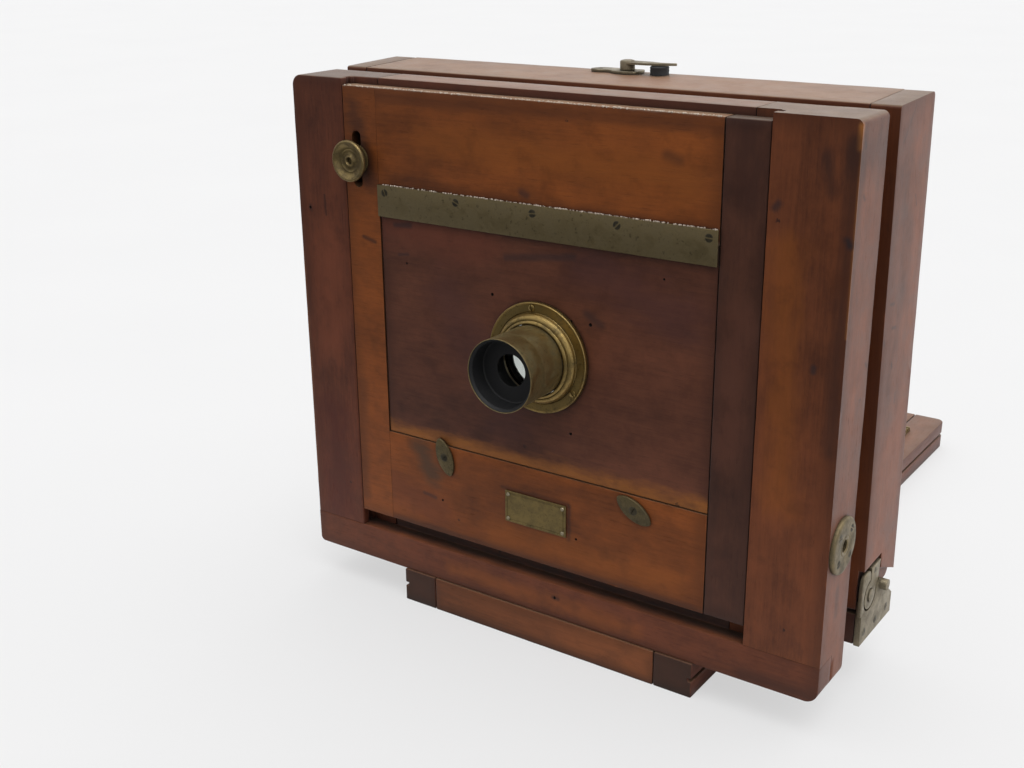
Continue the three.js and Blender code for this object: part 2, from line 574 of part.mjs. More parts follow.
function latchHook() {
  const arm = new THREE.Shape();
  arm.moveTo(LATCH_X, LATCH_Y - 3.5);
  arm.quadraticCurveTo(14, LATCH_Y - 6, 29, LATCH_Y + 0.5);
  arm.lineTo(28.5, LATCH_Y + 2);
  arm.quadraticCurveTo(20, LATCH_Y, 15, LATCH_Y + 2.5);
  arm.lineTo(LATCH_X, LATCH_Y + 3.5);
  const boss = rod('z', 3.9, [TOP + 1.5, TOP + 6.4], [LATCH_X, LATCH_Y, 0], 20);
  return join(boss, prism('z', arm, [TOP + 4.6, TOP + 5.8]));
}

function backCatch() {
  const outline = roundedRect([148.4, 157.2], [GLASS_MID - 4.4, GLASS_MID + 20], [4.4, 4.4, 4.4, 4.4]);
  const y = [BACK_D[1] + GAP, BACK_D[1] + 1.7];
  const head = rod('y', 2.6, [y[1] - 0.1, y[1] + 0.9], [152.8, 0, GLASS_MID], 16);
  return join(prism('y', outline, y), head);
}

function backHingeLeaf(moving) {
  const leaf = hingeLeaf({ length: 120, count: 5, width: 13.5, lift: 2.2, moving });
  // its axis x becomes z, its leaf direction y becomes x, and its normal z becomes y
  return leaf.rotate(-90, -90, 0).translate(-144.5, BACK_D[1] + GAP, GLASS_MID);
}

function buildBack() {
  for (const [side, word] of [[-1, 'left'], [1, 'right']]) {
    add(`back_${word}_side`, backSide(side), MAHOGANY, back);
    add(`swing_tongue_${word}`, swingTongue(side), DULL_BRASS, back);
  }
  const across = [-INSIDE_X, INSIDE_X];
  add('back_top_board', box(across, BACK_D, [INSIDE_Z[1] + GAP, BACK_H[1]]), MAHOGANY, back);
  add('back_bottom_board', box(across, BACK_D, [BACK_H[0], INSIDE_Z[0] - GAP]), MAHOGANY, back);
  const windowHalf = (INSIDE_Z[1] - INSIDE_Z[0]) / 2 - GAP;
  add('plate_frame', windowFrame(INSIDE_X, windowHalf, 127, 102, [14, 24]), DARK_WOOD, back);
  const glassRebate = box([-127.3, 127.3], [20, 27], [GLASS_MID - 102.3, GLASS_MID + 102.3]);
  const focusFrame = windowFrame(142.7, windowHalf, 122, 97, [24.9, BACK_D[1]]);
  add('focus_frame', cut(focusFrame, glassRebate), MAHOGANY, back);
  add('ground_glass', box([-127, 127], [25.1, 26.9], [GLASS_MID - 102, GLASS_MID + 102]),
    GROUND_GLASS, back);
  add('focus_hinge_fixed_leaf', backHingeLeaf(false), AGED_BRASS, back);
  add('focus_hinge_moving_leaf', backHingeLeaf(true), AGED_BRASS, back);
  add('focus_frame_catch', backCatch(), DULL_BRASS, back);
  add('latch_plate', latchPlate(), DULL_BRASS, back);
  add('latch_post', rod('z', 5, [TOP, TOP + 4.2], [19.5, LATCH_Y, 0]), BLACKENED, back);
  add('latch_hook', latchHook(), DULL_BRASS, back);
  add('bellows_rear', bellows(132, [16, 229], 14, [-5, 13.7]), LEATHER, back);
}

buildBed();
buildFrontStandard();
buildRiseClamp();
buildRisingPanel();
buildTurnButtons();
buildLens();
buildCarriage();
buildBack();
add('bellows_front', bellows(132, [66, 280], 14, [FRONT_D + GAP, 50.3]), LEATHER);

export default camera;
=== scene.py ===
"""Looks of a wooden large format view camera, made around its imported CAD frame.

Lengths are metres in the row frame: X right as seen from the front, Y from the lens to the ground
glass, Z up. Shader patterns are drawn in millimetres, so that grain and wear have their real size.
"""
import json
import math
import random

import bmesh
import bpy
from mathutils import Matrix, Vector, noise


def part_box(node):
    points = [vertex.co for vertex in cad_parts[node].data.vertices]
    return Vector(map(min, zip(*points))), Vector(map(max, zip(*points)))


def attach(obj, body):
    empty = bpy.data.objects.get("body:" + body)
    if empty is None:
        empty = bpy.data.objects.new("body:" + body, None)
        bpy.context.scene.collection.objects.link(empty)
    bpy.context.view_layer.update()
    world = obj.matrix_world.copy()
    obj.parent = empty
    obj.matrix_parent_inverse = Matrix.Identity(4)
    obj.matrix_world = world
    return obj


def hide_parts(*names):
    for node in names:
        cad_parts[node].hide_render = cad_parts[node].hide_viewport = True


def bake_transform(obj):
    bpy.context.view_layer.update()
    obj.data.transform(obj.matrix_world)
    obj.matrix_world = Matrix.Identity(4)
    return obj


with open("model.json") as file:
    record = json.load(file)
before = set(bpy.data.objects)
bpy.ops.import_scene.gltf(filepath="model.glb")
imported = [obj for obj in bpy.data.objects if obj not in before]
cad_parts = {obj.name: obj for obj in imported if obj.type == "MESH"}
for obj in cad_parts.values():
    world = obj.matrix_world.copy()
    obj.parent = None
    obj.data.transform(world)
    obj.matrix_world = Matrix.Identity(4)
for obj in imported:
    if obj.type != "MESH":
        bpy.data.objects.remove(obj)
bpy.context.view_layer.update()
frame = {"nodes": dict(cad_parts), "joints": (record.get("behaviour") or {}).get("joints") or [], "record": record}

MM = 0.001
NODES = frame["nodes"]
JOINTS = {joint["name"]: joint for joint in frame["joints"]}
BODY_OF = {node: body for body, nodes in frame["record"]["behaviour"]["bodies"].items()
           for node in nodes}
X, Y, Z = Vector((1, 0, 0)), Vector((0, 1, 0)), Vector((0, 0, 1))

# the back leans forward about its pivot; its own straight frame starts at that pivot
PIVOT = Vector(JOINTS["back_swing"]["pos_m"])
LEAN = math.asin(-JOINTS["focusing_frame_hinge"]["axis"][1])
LEANING = Matrix.Translation(PIVOT) @ Matrix.Rotation(LEAN, 4, "X")
BACK_BODIES = ("back", "hook", "focusing_frame", "catch")


def leans(node):
    return BODY_OF[node] in BACK_BODIES


def on_back(x, y, z):
    """A point of the back's own straight frame, given in millimetres from the pivot."""
    return LEANING @ (Vector((x, y, z)) * MM)


# ---- shader building --------------------------------------------------------------------
class Shader:
    """The node tree of a material or world, written as short calls. Sockets and values mix."""

    def __init__(self, name, kind="Material"):
        library = bpy.data.worlds if kind == "World" else bpy.data.materials
        self.owner = library.new(name)
        self.owner.use_nodes = True
        self.tree = self.owner.node_tree
        self.tree.nodes.clear()
        self.output = self.node("Output" + kind)

    def node(self, kind, values=None, **settings):
        made = self.tree.nodes.new("ShaderNode" + kind)
        for key, value in settings.items():
            setattr(made, key, value)
        for key, value in (values or {}).items():
            self.feed(made.inputs[key], value)
        return made

    def feed(self, socket, value):
        if isinstance(value, bpy.types.NodeSocket):
            self.tree.links.new(value, socket)
        elif socket.type == "RGBA" and len(value) == 3:
            socket.default_value = (*value, 1)
        else:
            socket.default_value = value

    def math(self, operation, *values, clamp=False):
        return self.node("Math", dict(enumerate(values)), operation=operation,
                         use_clamp=clamp).outputs[0]

    def line(self, value, factor, offset):
        """value times factor, plus offset"""
        return self.math("MULTIPLY_ADD", value, factor, offset)

    def times(self, value, factor):
        return self.math("MULTIPLY", value, factor)

    def vector(self, operation, *values):
        made = self.node("VectorMath", dict(enumerate(values)), operation=operation)
        single = operation in ("LENGTH", "DISTANCE", "DOT_PRODUCT")
        return made.outputs["Value" if single else "Vector"]

    def stretch(self, vector, factors):
        return self.vector("MULTIPLY", vector, factors)

    def noise(self, vector, scale, detail=2.0, roughness=0.5):
        values = {"Vector": vector, "Scale": scale, "Detail": detail, "Roughness": roughness}
        return self.node("TexNoise", values).outputs["Fac"]

    def ramp(self, value, low, high, start=0.0, end=1.0):
        """value from low..high, smoothly carried over to start..end"""
        values = {"Value": value, "From Min": low, "From Max": high, "To Min": start, "To Max": end}
        return self.node("MapRange", values, interpolation_type="SMOOTHSTEP").outputs["Result"]

    def mix(self, factor, first, second, blend="MIX"):
        made = self.node("Mix", data_type="RGBA", blend_type=blend)
        for socket, value in ((made.inputs[0], factor), (made.inputs[6], first),
                              (made.inputs[7], second)):
            self.feed(socket, value)
        return made.outputs[2]

    def tint(self, colour, mask, strength, over):
        """Lays another colour over, where the mask is, at that strength."""
        return self.mix(self.times(mask, strength), colour, over)

    def place(self, lean=False):
        """The surface point in millimetres; in the back's own frame for a piece that leans."""
        point = self.node("TexCoord").outputs["Object"]
        if lean:
            values = {"Vector": point, "Center": PIVOT, "Angle": -LEAN}
            point = self.node("VectorRotate", values, rotation_type="X_AXIS").outputs["Vector"]
        return self.node("VectorMath", {0: point, "Scale": 1000.0}, operation="SCALE").outputs[0]

    def facing(self):
        """The surface normal, in the piece's own frame."""
        return self.node("TexCoord").outputs["Normal"]

    def corner_shade_and_grime(self, distance, samples=4):
        """Grime and painted shade in tight corners, read from ambient occlusion: 1 in tight corners, 0 in the
        open.
        """
        values = {"Distance": distance}
        found = self.node("AmbientOcclusion", values, samples=samples).outputs["AO"]
        return self.ramp(found, 0.95, 0.35)

    def bump(self, height, strength, distance):
        values = {"Height": height, "Strength": strength, "Distance": distance}
        return self.node("Bump", values).outputs["Normal"]

    def finish(self, **values):
        shader = self.node("BsdfPrincipled", {key.replace("_", " "): value
                                              for key, value in values.items()})
        self.feed(self.output.inputs[0], shader.outputs[0])
        return self.owner


def spread(seed):
    """A vector that sets two boards' patterns well apart."""
    draw = random.Random(seed)
    return Vector([draw.uniform(100, 900) for _ in range(3)])


# ---- wood -------------------------------------------------------------------------------
GRAIN = {"x": X, "y": Y, "z": Z}
# pale brown laid on upward faces: dust, and painted sheen where the tops catch the light
TOP_DUST_AND_SHEEN = (0.27, 0.175, 0.10)


def span(points):
    """Low and high corner of the box round some points."""
    return tuple(Vector([pick(point[i] for point in points) for i in range(3)])
                 for pick in (min, max))


def edge_distance(shader, point, low, high):
    """Millimetres from a point on a board's face to the nearest edge of the board's box."""
    centre = (low + high) / 2
    half = (high - low) / 2
    inward = shader.vector("SUBTRACT", half, shader.vector("ABSOLUTE",
                           shader.vector("SUBTRACT", point, centre)))
    parts = shader.node("SeparateXYZ", {0: inward})
    x, y, z = parts.outputs
    lesser = shader.math("MINIMUM", x, y)
    greater = shader.math("MAXIMUM", x, y)
    return shader.math("MAXIMUM", lesser, shader.math("MINIMUM", greater, z))


def segment_distance(shader, point, start, end):
    """Millimetres from a point to the line between two places."""
    course = end - start
    offset = shader.vector("SUBTRACT", point, start)
    share = shader.vector("DOT_PRODUCT", offset, course / course.length_squared)
    share = shader.math("MULTIPLY", share, 1.0, clamp=True)
    nearest = shader.node("VectorMath", {0: course, "Scale": share}, operation="SCALE").outputs[0]
    return shader.vector("DISTANCE", offset, nearest)


class Wood(Shader):
    """French polished board, with growth rings, pores, smoky shading and wear of its own, grime and painted shade
    in its corners, and dust and painted top sheen on what faces up.
    """

    def __init__(self, node, tone, grain):
        super().__init__("wood_" + node)
        family = MATCHED if node in MATCHED else (node,)
        low, high = span([corner for member in family for corner in straight_box(member)])
        self.seed = family[0]
        self.tone = Vector(tone)
        self.grain = GRAIN[grain]
        self.point = self.place(leans(node))
        self.there = self.vector("ADD", self.point, spread(self.seed))
        self.edge = edge_distance(self, self.point, low * 1000, high * 1000)
        self.fibre = self.drawn(0.05, 0.8, 6, 0.75)
        self.smoke = self.drawn(0.6, 0.07, 5, 0.7)
        self.pores = self.ramp(self.drawn(0.06, 2.1, 1), 0.62, 0.74)
        self.blotch = self.noise(self.there, 0.06, 4, 0.65)

    def along(self, share):
        """Factors that shrink a pattern's coordinate along the grain, which draws it out."""
        return Vector([share if part else 1.0 for part in self.grain])

    def drawn(self, share, *settings):
        """Noise that is drawn out along the grain."""
        return self.noise(self.stretch(self.there, self.along(share)), *settings)

    def figured(self, contrast):
        """Growth rings, fibres, clouds and pores, with a darker rim along the board's edges."""
        tone = self.tone
        pith = spread(self.seed + "pith").normalized() * random.Random(self.seed).uniform(60, 140)
        across = self.stretch(self.vector("ADD", self.point, pith), self.along(0.0))
        radius = self.line(self.drawn(0.3, 0.02, 2), 30.0, self.vector("LENGTH", across))
        rings = self.math("SINE", self.times(radius, 1.9))
        cloud = self.drawn(0.4, 0.016, 3, 0.6)
        figure = self.line(self.fibre, 0.7 * contrast, -0.35 * contrast + 0.5)
        figure = self.line(rings, 0.02 * contrast, figure)
        figure = self.math("ADD", figure, self.line(self.smoke, 1.3, -0.65))
        figure = self.math("ADD", figure, self.line(cloud, 1.7, -0.85), clamp=True)
        light = Vector((tone.x * 1.5, tone.y * 1.52, tone.z * 1.35))
        colour = self.mix(figure, tone * 0.5, light)
        colour = self.tint(colour, self.pores, 0.25, tone * 0.3)
        rim = self.ramp(self.line(self.smoke, -26.0, self.edge), -4.0, -14.0, 0.0, 0.55)
        return self.mix(rim, colour, tone * 0.42)

    def marked(self, colour, patches):
        """Each patch is a line from start to end, with its half width, colour and strength."""
        broken = self.drawn(0.3, 0.16, 5, 0.65)
        for start, end, reach, patch_colour, strength in patches:
            away = segment_distance(self, self.point, Vector(start), Vector(end))
            away = self.math("DIVIDE", away, reach)
            away = self.math("ADD", away, self.line(broken, 2.2, -1.1))
            colour = self.mix(self.ramp(away, 1.6, 0.0, 0.0, strength), colour, patch_colour)
        return colour

    def worn(self, colour, ends):
        """Darker end grain, edges rubbed bare, and stains."""
        tone = self.tone
        end_face = self.math("ABSOLUTE", self.vector("DOT_PRODUCT", self.facing(), self.grain))
        end_colour = Vector((tone.x * 0.22 + 0.004, tone.y * 0.35 + 0.003, tone.z * 0.4 + 0.002))
        colour = self.tint(colour, self.ramp(end_face, 0.6, 0.95), ends, end_colour)
        rubbed = self.line(self.blotch, 3.4, self.times(self.edge, -1.0))
        rubbed = self.times(self.ramp(rubbed, 1.0, 2.2), self.ramp(self.smoke, 0.5, 0.68, 0, 0.6))
        bare = Vector((tone.x * 1.55 + 0.03, tone.y * 1.6 + 0.012, tone.z * 1.5 + 0.006))
        colour = self.mix(rubbed, colour, bare)
        return self.mix(self.ramp(self.blotch, 0.5, 0.3, 0.0, 0.35), colour, tone * 0.5)

    def specks(self):
        """A few small dark pits."""
        cells = self.node("TexVoronoi", {"Vector": self.there, "Scale": 0.055, "Randomness": 1.0})
        lucky = self.node("SeparateXYZ", {0: cells.outputs["Color"]}).outputs[0]
        reach = self.ramp(lucky, 0.55, 1.0, 0.0, 0.075)
        speck = self.math("LESS_THAN", cells.outputs["Distance"], reach)
        return self.times(speck, self.ramp(self.noise(self.there, 1.2, 1), 0.35, 0.55))

    def dust_and_top_sheen(self, colour, dust):
        """Dust and painted top sheen on what faces up: paler the more a face looks upward, a little uneven."""
        upward = self.vector("DOT_PRODUCT", self.facing(), Z)
        settled = self.times(self.ramp(upward, 0.3, 0.9), self.ramp(self.smoke, 0.25, 0.75, 0.6, 1.0))
        return self.tint(colour, settled, dust, TOP_DUST_AND_SHEEN)

    def finished(self, patches, contrast, dust, ends):
        """The whole material: marks, strength of the figure, dust and painted top sheen on top, darkness of end
        grain.
        """
        colour = self.worn(self.marked(self.figured(contrast), patches), ends)
        speck = self.specks()
        colour = self.tint(colour, speck, 0.75, (0.012, 0.007, 0.006))
        # grime and painted shade in the corners, from ambient occlusion
        colour = self.tint(colour, self.corner_shade_and_grime(0.007), 0.75, (0.014, 0.008, 0.006))
        # dust and painted top sheen on upward faces
        colour = self.dust_and_top_sheen(colour, dust)
        scratch = self.noise(self.stretch(self.there, (1.6, 1.6, 0.05)), 0.7, 3, 0.8)
        height = self.line(self.fibre, 0.5, self.times(self.pores, -0.8))
        height = self.line(self.ramp(scratch, 0.66, 0.72), -0.5, height)
        height = self.line(speck, -2.0, height)
        rough = self.line(self.pores, 0.2, self.line(self.blotch, 0.25, 0.36))
        return self.finish(Base_Color=colour, Roughness=rough, IOR=1.38, Sheen_Weight=0.09,
                           Sheen_Roughness=0.35, Normal=self.bump(height, 0.35, 0.0001))


# ---- metal, leather and glass -----------------------------------------------------------
def brass(name, bright, dull, patina=0.5, rough=0.36, lean=False):
    """Tarnished brass: bright where it is rubbed, brown where patina lies, dark with grime and painted shade in
    its corners.
    """
    shader = Shader(name)
    point = shader.place(lean)
    there = shader.vector("ADD", point, spread(name))
    cloud = shader.noise(there, 0.12, 5, 0.65)
    fine = shader.noise(there, 1.1, 4, 0.7)
    tarnish = shader.line(fine, 0.35, cloud)
    tarnish = shader.ramp(tarnish, 0.85 - patina * 0.6, 0.95 - patina * 0.2)
    colour = shader.mix(tarnish, bright, dull)
    rubbed = shader.ramp(shader.node("NewGeometry").outputs["Pointiness"], 0.52, 0.6)
    colour = shader.tint(colour, rubbed, 0.55, Vector(bright) * 1.35)
    spots = shader.ramp(shader.noise(there, 0.5, 3, 0.6), 0.6, 0.72, 0.0, 0.6)
    colour = shader.mix(spots, colour, Vector(dull) * 0.45)
    # grime and painted shade in the corners, from ambient occlusion; it also roughens them
    corner_shade_and_grime = shader.corner_shade_and_grime(0.003)
    colour = shader.tint(colour, corner_shade_and_grime, 0.8, (0.02, 0.014, 0.008))
    lines = shader.noise(shader.stretch(there, (0.15, 1.0, 2.5)), 1.3, 3, 0.8)
    height = shader.line(fine, 0.6, shader.times(lines, 0.5))
    roughness = shader.line(tarnish, 0.2, rough)
    roughness = shader.line(corner_shade_and_grime, 0.2, roughness)
    metal = shader.line(tarnish, -0.25, 0.95)
    return shader.finish(Base_Color=colour, Metallic=metal, Roughness=roughness,
                         Normal=shader.bump(height, 0.25, 0.00008))


def blackened(name, colour, rough):
    """Black paint or patina on metal, a little uneven; the same near-black surface lines the walls of the nail
    holes.
    """
    shader = Shader(name)
    there = shader.vector("ADD", shader.place(), spread(name))
    fine = shader.noise(there, 0.9, 4, 0.65)
    shade = shader.mix(fine, Vector(colour) * 0.6, Vector(colour) * 1.6)
    roughness = shader.line(fine, 0.25, rough)
    return shader.finish(Base_Color=shade, Roughness=roughness,
                         Normal=shader.bump(fine, 0.2, 0.0001))


def fluff(name):
    """Matt pale dust, a little uneven."""
    shader = Shader(name)
    uneven = shader.noise(shader.place(), 0.4, 3, 0.6)
    shade = shader.mix(uneven, (0.42, 0.34, 0.27), (0.72, 0.62, 0.52))
    return shader.finish(Base_Color=shade, Roughness=0.95, IOR=1.3)


def leather(name):
    """Black bellows leather: fine cracked grain, rubbed brown on the outer folds."""
    shader = Shader(name)
    point = shader.place()
    cells = shader.node("TexVoronoi", {"Vector": point, "Scale": 0.9}, feature="DISTANCE_TO_EDGE")
    grain = shader.ramp(cells.outputs["Distance"], 0.0, 0.12)
    cloud = shader.noise(point, 0.05, 4, 0.6)
    colour = shader.mix(cloud, (0.010, 0.008, 0.009), (0.026, 0.019, 0.018))
    rubbed = shader.ramp(shader.node("NewGeometry").outputs["Pointiness"], 0.53, 0.62, 0.0, 0.5)
    colour = shader.mix(rubbed, colour, (0.06, 0.035, 0.025))
    roughness = shader.line(cloud, 0.2, 0.5)
    return shader.finish(Base_Color=colour, Roughness=roughness,
                         Normal=shader.bump(grain, 0.3, 0.0002))


def clear_glass(name):
    """Polished glass with a faint haze."""
    shader = Shader(name)
    haze = shader.noise(shader.place(), 0.2, 3, 0.6)
    roughness = shader.ramp(haze, 0.4, 0.8, 0.0, 0.04)
    return shader.finish(Base_Color=(0.93, 0.96, 0.95), Roughness=roughness, IOR=1.52,
                         Transmission_Weight=1.0)


def ground_glass(name):
    """Frosted on its inner side, with a faint dusty cloudiness."""
    shader = Shader(name)
    point = shader.place(True)
    fine = shader.noise(point, 3.0, 3, 0.7)
    cloud = shader.noise(point, 0.02, 4, 0.6)
    colour = shader.mix(cloud, (0.70, 0.73, 0.70), (0.84, 0.86, 0.83))
    roughness = shader.line(cloud, 0.15, 0.4)
    return shader.finish(Base_Color=colour, Roughness=roughness, IOR=1.5,
                         Transmission_Weight=0.9, Normal=shader.bump(fine, 0.15, 0.0001))


# ---- mesh building ----------------------------------------------------------------------
TURNED_SMOOTH = 50                       # degrees up to which turned brass is shaded smooth
SHARP = math.radians(28)                 # an edge that turns by more than this is rounded
ON_AXIS = 1e-6                           # a smaller radius in millimetres counts as none
WEAR_STEP = 7 * MM                       # how finely a board is cut up to be worn
WEAR_DEPTH = 0.16 * MM
WEAR_WAVE = 9 * MM


def straight_box(node):
    """Low and high corner of a CAD node, in the back's own frame if the node leans."""
    turn = LEANING.inverted() if leans(node) else Matrix()
    points = [turn @ vertex.co for vertex in NODES[node].data.vertices]
    if leans(node):
        points = [point + PIVOT for point in points]
    return span(points)


def put(name, data):
    """A new object in the scene."""
    made = bpy.data.objects.new(name, data)
    bpy.context.scene.collection.objects.link(made)
    return made


def piece(name, mesh, body, material, smooth=35):
    """A new object with that mesh, which rides on the body."""
    mesh.materials.clear()
    mesh.materials.append(material)
    for polygon in mesh.polygons:
        polygon.use_smooth = True
    mesh.set_sharp_from_angle(angle=math.radians(smooth))
    made = put(name, mesh)
    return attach(made, body)


def stand_in(made, *nodes):
    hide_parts(*nodes)
    return made


def worn_piece(node, shape, material, smooth=35):
    """Puts a new shape in the place of a CAD node, on the node's own body."""
    made = piece("worn_" + node, to_mesh(shape, node), BODY_OF[node], material, smooth)
    return stand_in(made, node)


def to_mesh(shape, name):
    mesh = bpy.data.meshes.new(name)
    bmesh.ops.recalc_face_normals(shape, faces=shape.faces)
    shape.to_mesh(mesh)
    shape.free()
    return mesh


def flat_faced(node):
    """The CAD node's mesh with its triangles merged into whole flat faces."""
    shape = bmesh.new()
    shape.from_mesh(NODES[node].data)
    bmesh.ops.remove_doubles(shape, verts=shape.verts, dist=0.002 * MM)
    bmesh.ops.dissolve_limit(shape, angle_limit=math.radians(1), verts=shape.verts,
                             edges=shape.edges)
    return shape


def bevel(shape, edges, width, segments):
    bmesh.ops.bevel(shape, geom=edges, offset=width, offset_type="OFFSET", segments=segments,
                    profile=0.5, affect="EDGES", clamp_overlap=True)


def round_edges(shape, width, segments, kept=()):
    """Rounds every sharp edge, apart from the kept ones."""
    left_alone = set(kept)
    sharp = [edge for edge in shape.edges if edge not in left_alone
             and len(edge.link_faces) == 2 and edge.calc_face_angle(0) > SHARP]
    bevel(shape, sharp, width, segments)


def everything(shape):
    return shape.verts[:] + shape.edges[:] + shape.faces[:]


def slice_up(shape, step):
    """Cuts the faces along planes every step, so that wear has points to move."""
    for axis, normal in enumerate((X, Y, Z)):
        places = [vertex.co[axis] for vertex in shape.verts]
        low, high = min(places), max(places)
        count = int((high - low) / step)
        for i in range(count):
            place = low + (i + 0.5) * (high - low) / count
            bmesh.ops.bisect_plane(shape, geom=everything(shape), plane_co=normal * place,
                                   plane_no=normal, dist=0.02 * MM)


def wear_down(shape, depth, size):
    """Moves each point inward by up to depth, in soft waves of that size."""
    shape.normal_update()
    for vertex in shape.verts:
        wave = 0.5 + 0.5 * noise.noise(vertex.co / size)
        vertex.co -= vertex.normal * depth * max(0.0, min(1.0, wave))


def close_joint(shape, axis, place, shift):
    """Moves the face at a place on an axis, to meet the board it is glued to; returns its edges."""
    moved = {vertex for vertex in shape.verts if abs(vertex.co[axis] - place * MM) < 0.05 * MM}
    for vertex in moved:
        vertex.co[axis] += shift * MM
    return [edge for edge in shape.edges if all(vertex in moved for vertex in edge.verts)]


def board(node, material, rounding):
    """A worn wooden board in place of the CAD one."""
    shape = flat_faced(node)
    glued = [edge for joint in CLOSED_JOINTS.get(node, ()) for edge in close_joint(shape, *joint)]
    round_edges(shape, rounding, 3, kept=glued)
    slice_up(shape, WEAR_STEP)
    wear_down(shape, WEAR_DEPTH, WEAR_WAVE)
    return worn_piece(node, shape, material)


def fitting(node, material, rounding):
    """A metal fitting with softened edges in place of the CAD one."""
    shape = flat_faced(node)
    round_edges(shape, rounding, 2)
    return worn_piece(node, shape, material)


def is_ring(profile):
    """Whether a turned profile stays off its axis at both ends, and so closes on itself."""
    return profile[0][0] > ON_AXIS and profile[-1][0] > ON_AXIS


def lathe(profile, segments=96, milled_from=None, milling=0.0):
    """(radius, distance) pairs in millimetres, turned about Z; a closed profile makes a ring.

    From the radius milled_from outwards, every other column is cut back by milling.
    """
    shape = bmesh.new()
    rings = []
    for radius, distance in profile:
        if radius < ON_AXIS:
            rings.append([shape.verts.new((0, 0, distance * MM))])
            continue
        column = []
        for i in range(segments):
            turn = 2 * math.pi * i / segments
            cut_back = milling if i % 2 and milled_from is not None and radius > milled_from else 0
            reach = (radius - cut_back) * MM
            column.append(shape.verts.new((reach * math.cos(turn), reach * math.sin(turn),
                                           distance * MM)))
        rings.append(column)
    pairs = list(zip(rings, rings[1:])) + ([(rings[-1], rings[0])] if is_ring(profile) else [])
    for first, second in pairs:
        for i in range(segments):
            j = (i + 1) % segments
            corners = [first[i % len(first)], first[j % len(first)],
                       second[j % len(second)], second[i % len(second)]]
            shape.faces.new(list(dict.fromkeys(corners)))
    return shape


def softened(profile, radius):
    """A closed or open turned profile with each corner cut by a small round."""
    closed = is_ring(profile)
    points = [Vector(point) for point in profile]
    soft = []
    for i, point in enumerate(points):
        if not closed and i in (0, len(points) - 1):
            soft.append(point)
            continue
        before, after = points[i - 1], points[(i + 1) % len(points)]
        reach = min(radius, (before - point).length * 0.4, (after - point).length * 0.4)
        start = point + (before - point).normalized() * reach
        end = point + (after - point).normalized() * reach
        soft += [start, (start + end + point * 2) / 4, end]
    return [tuple(point) for point in soft]


def carried(shape, matrix):
    """Moves a whole shape by a matrix."""
    bmesh.ops.transform(shape, matrix=matrix, verts=shape.verts)
    return shape


def turned_to(shape, place, direction):
    """Puts a shape made about +Z at a place, with its axis along a direction."""
    turn = direction.to_track_quat("Z", "Y").to_matrix().to_4x4()
    return carried(shape, Matrix.Translation(place) @ turn)


# ---- screws -----------------------------------------------------------------------------
def screw_head(radius, dome, slot_width, slot_angle):
    """A slotted head about +Z in millimetres: two half domes on a floor disc."""
    whole = bmesh.new()
    profile = [(0, dome)]
    for i in range(1, 6):
        share = i / 5
        profile.append((radius * share, dome * (1 - share ** 3)))
    profile += [(radius, -0.5), (0, -0.5)]
    for side in (-1, 1):
        half = lathe(profile, 28)
        cut = bmesh.ops.bisect_plane(half, geom=everything(half),
                                     plane_co=(0, side * slot_width / 2 * MM, 0),
                                     plane_no=(0, -side, 0), clear_outer=True)
        rim = [part for part in cut["geom_cut"] if isinstance(part, bmesh.types.BMEdge)]
        bmesh.ops.contextual_create(half, geom=rim)
        add_shape(whole, half)
    floor = [(0, dome - 0.45), (radius * 0.97, dome - 0.45), (radius * 0.97, -0.6), (0, -0.6)]
    add_shape(whole, lathe(floor, 28))
    bmesh.ops.rotate(whole, matrix=Matrix.Rotation(slot_angle, 3, "Z"), verts=whole.verts)
    return whole


def add_shape(whole, extra):
    """Adds one mesh under construction to another, and frees it."""
    mesh = bpy.data.meshes.new("part")
    extra.to_mesh(mesh)
    extra.free()
    whole.from_mesh(mesh)
    bpy.data.meshes.remove(mesh)


def screws(name, body, spots, direction, radius, material, dome, slot_width):
    """Slotted screw heads at the spots in metres, all facing one way, as one piece."""
    draw = random.Random(name)
    whole = bmesh.new()
    for spot in spots:
        head = screw_head(radius, dome, slot_width, draw.uniform(0, math.pi))
        add_shape(whole, turned_to(head, Vector(spot), Vector(direction)))
    made = piece(name, to_mesh(whole, name), body, material, smooth=40)
    return made


# ---- materials of this camera -----------------------------------------------------------
OLD_BRASS = brass("old_brass", (0.30, 0.22, 0.095), (0.13, 0.095, 0.045))
BARREL_BRASS = brass("barrel_brass", (0.34, 0.26, 0.12), (0.18, 0.145, 0.07), 0.5, 0.4)
GOLDEN_BRASS = brass("golden_brass", (0.36, 0.25, 0.09), (0.15, 0.108, 0.042), 0.4, 0.3)
BUSH_BRASS = brass("bush_brass", (0.20, 0.155, 0.085), (0.11, 0.09, 0.055), 0.55, 0.42)
SWING_BRASS = brass("swing_brass", (0.26, 0.22, 0.15), (0.15, 0.125, 0.085), 0.55, 0.45)
GREY_BRASS = brass("grey_brass", (0.185, 0.143, 0.072), (0.110, 0.087, 0.047), 0.6, 0.45)
PLATE_BRASS = brass("plate_brass", (0.245, 0.18, 0.072), (0.135, 0.100, 0.042), 0.5, 0.42)
LEANING_BRASS = brass("leaning_brass", (0.26, 0.22, 0.15), (0.15, 0.125, 0.085), 0.55, 0.42, True)
SCREW_METAL = brass("screw_metal", (0.10, 0.085, 0.055), (0.035, 0.03, 0.02), 0.6, 0.42)
PIN_METAL = brass("pin_metal", (0.36, 0.31, 0.21), (0.20, 0.17, 0.11), 0.5, 0.4)
BLACK_METAL = blackened("black_metal", (0.012, 0.012, 0.014), 0.5)
LENS_BLACK = blackened("lens_black", (0.006, 0.006, 0.007), 0.5)
# near-black walls of the nail holes, darker than the wood round them
HOLE_DARK = blackened("hole_dark", (0.008, 0.005, 0.004), 0.8)
LEATHER = leather("bellows_leather")

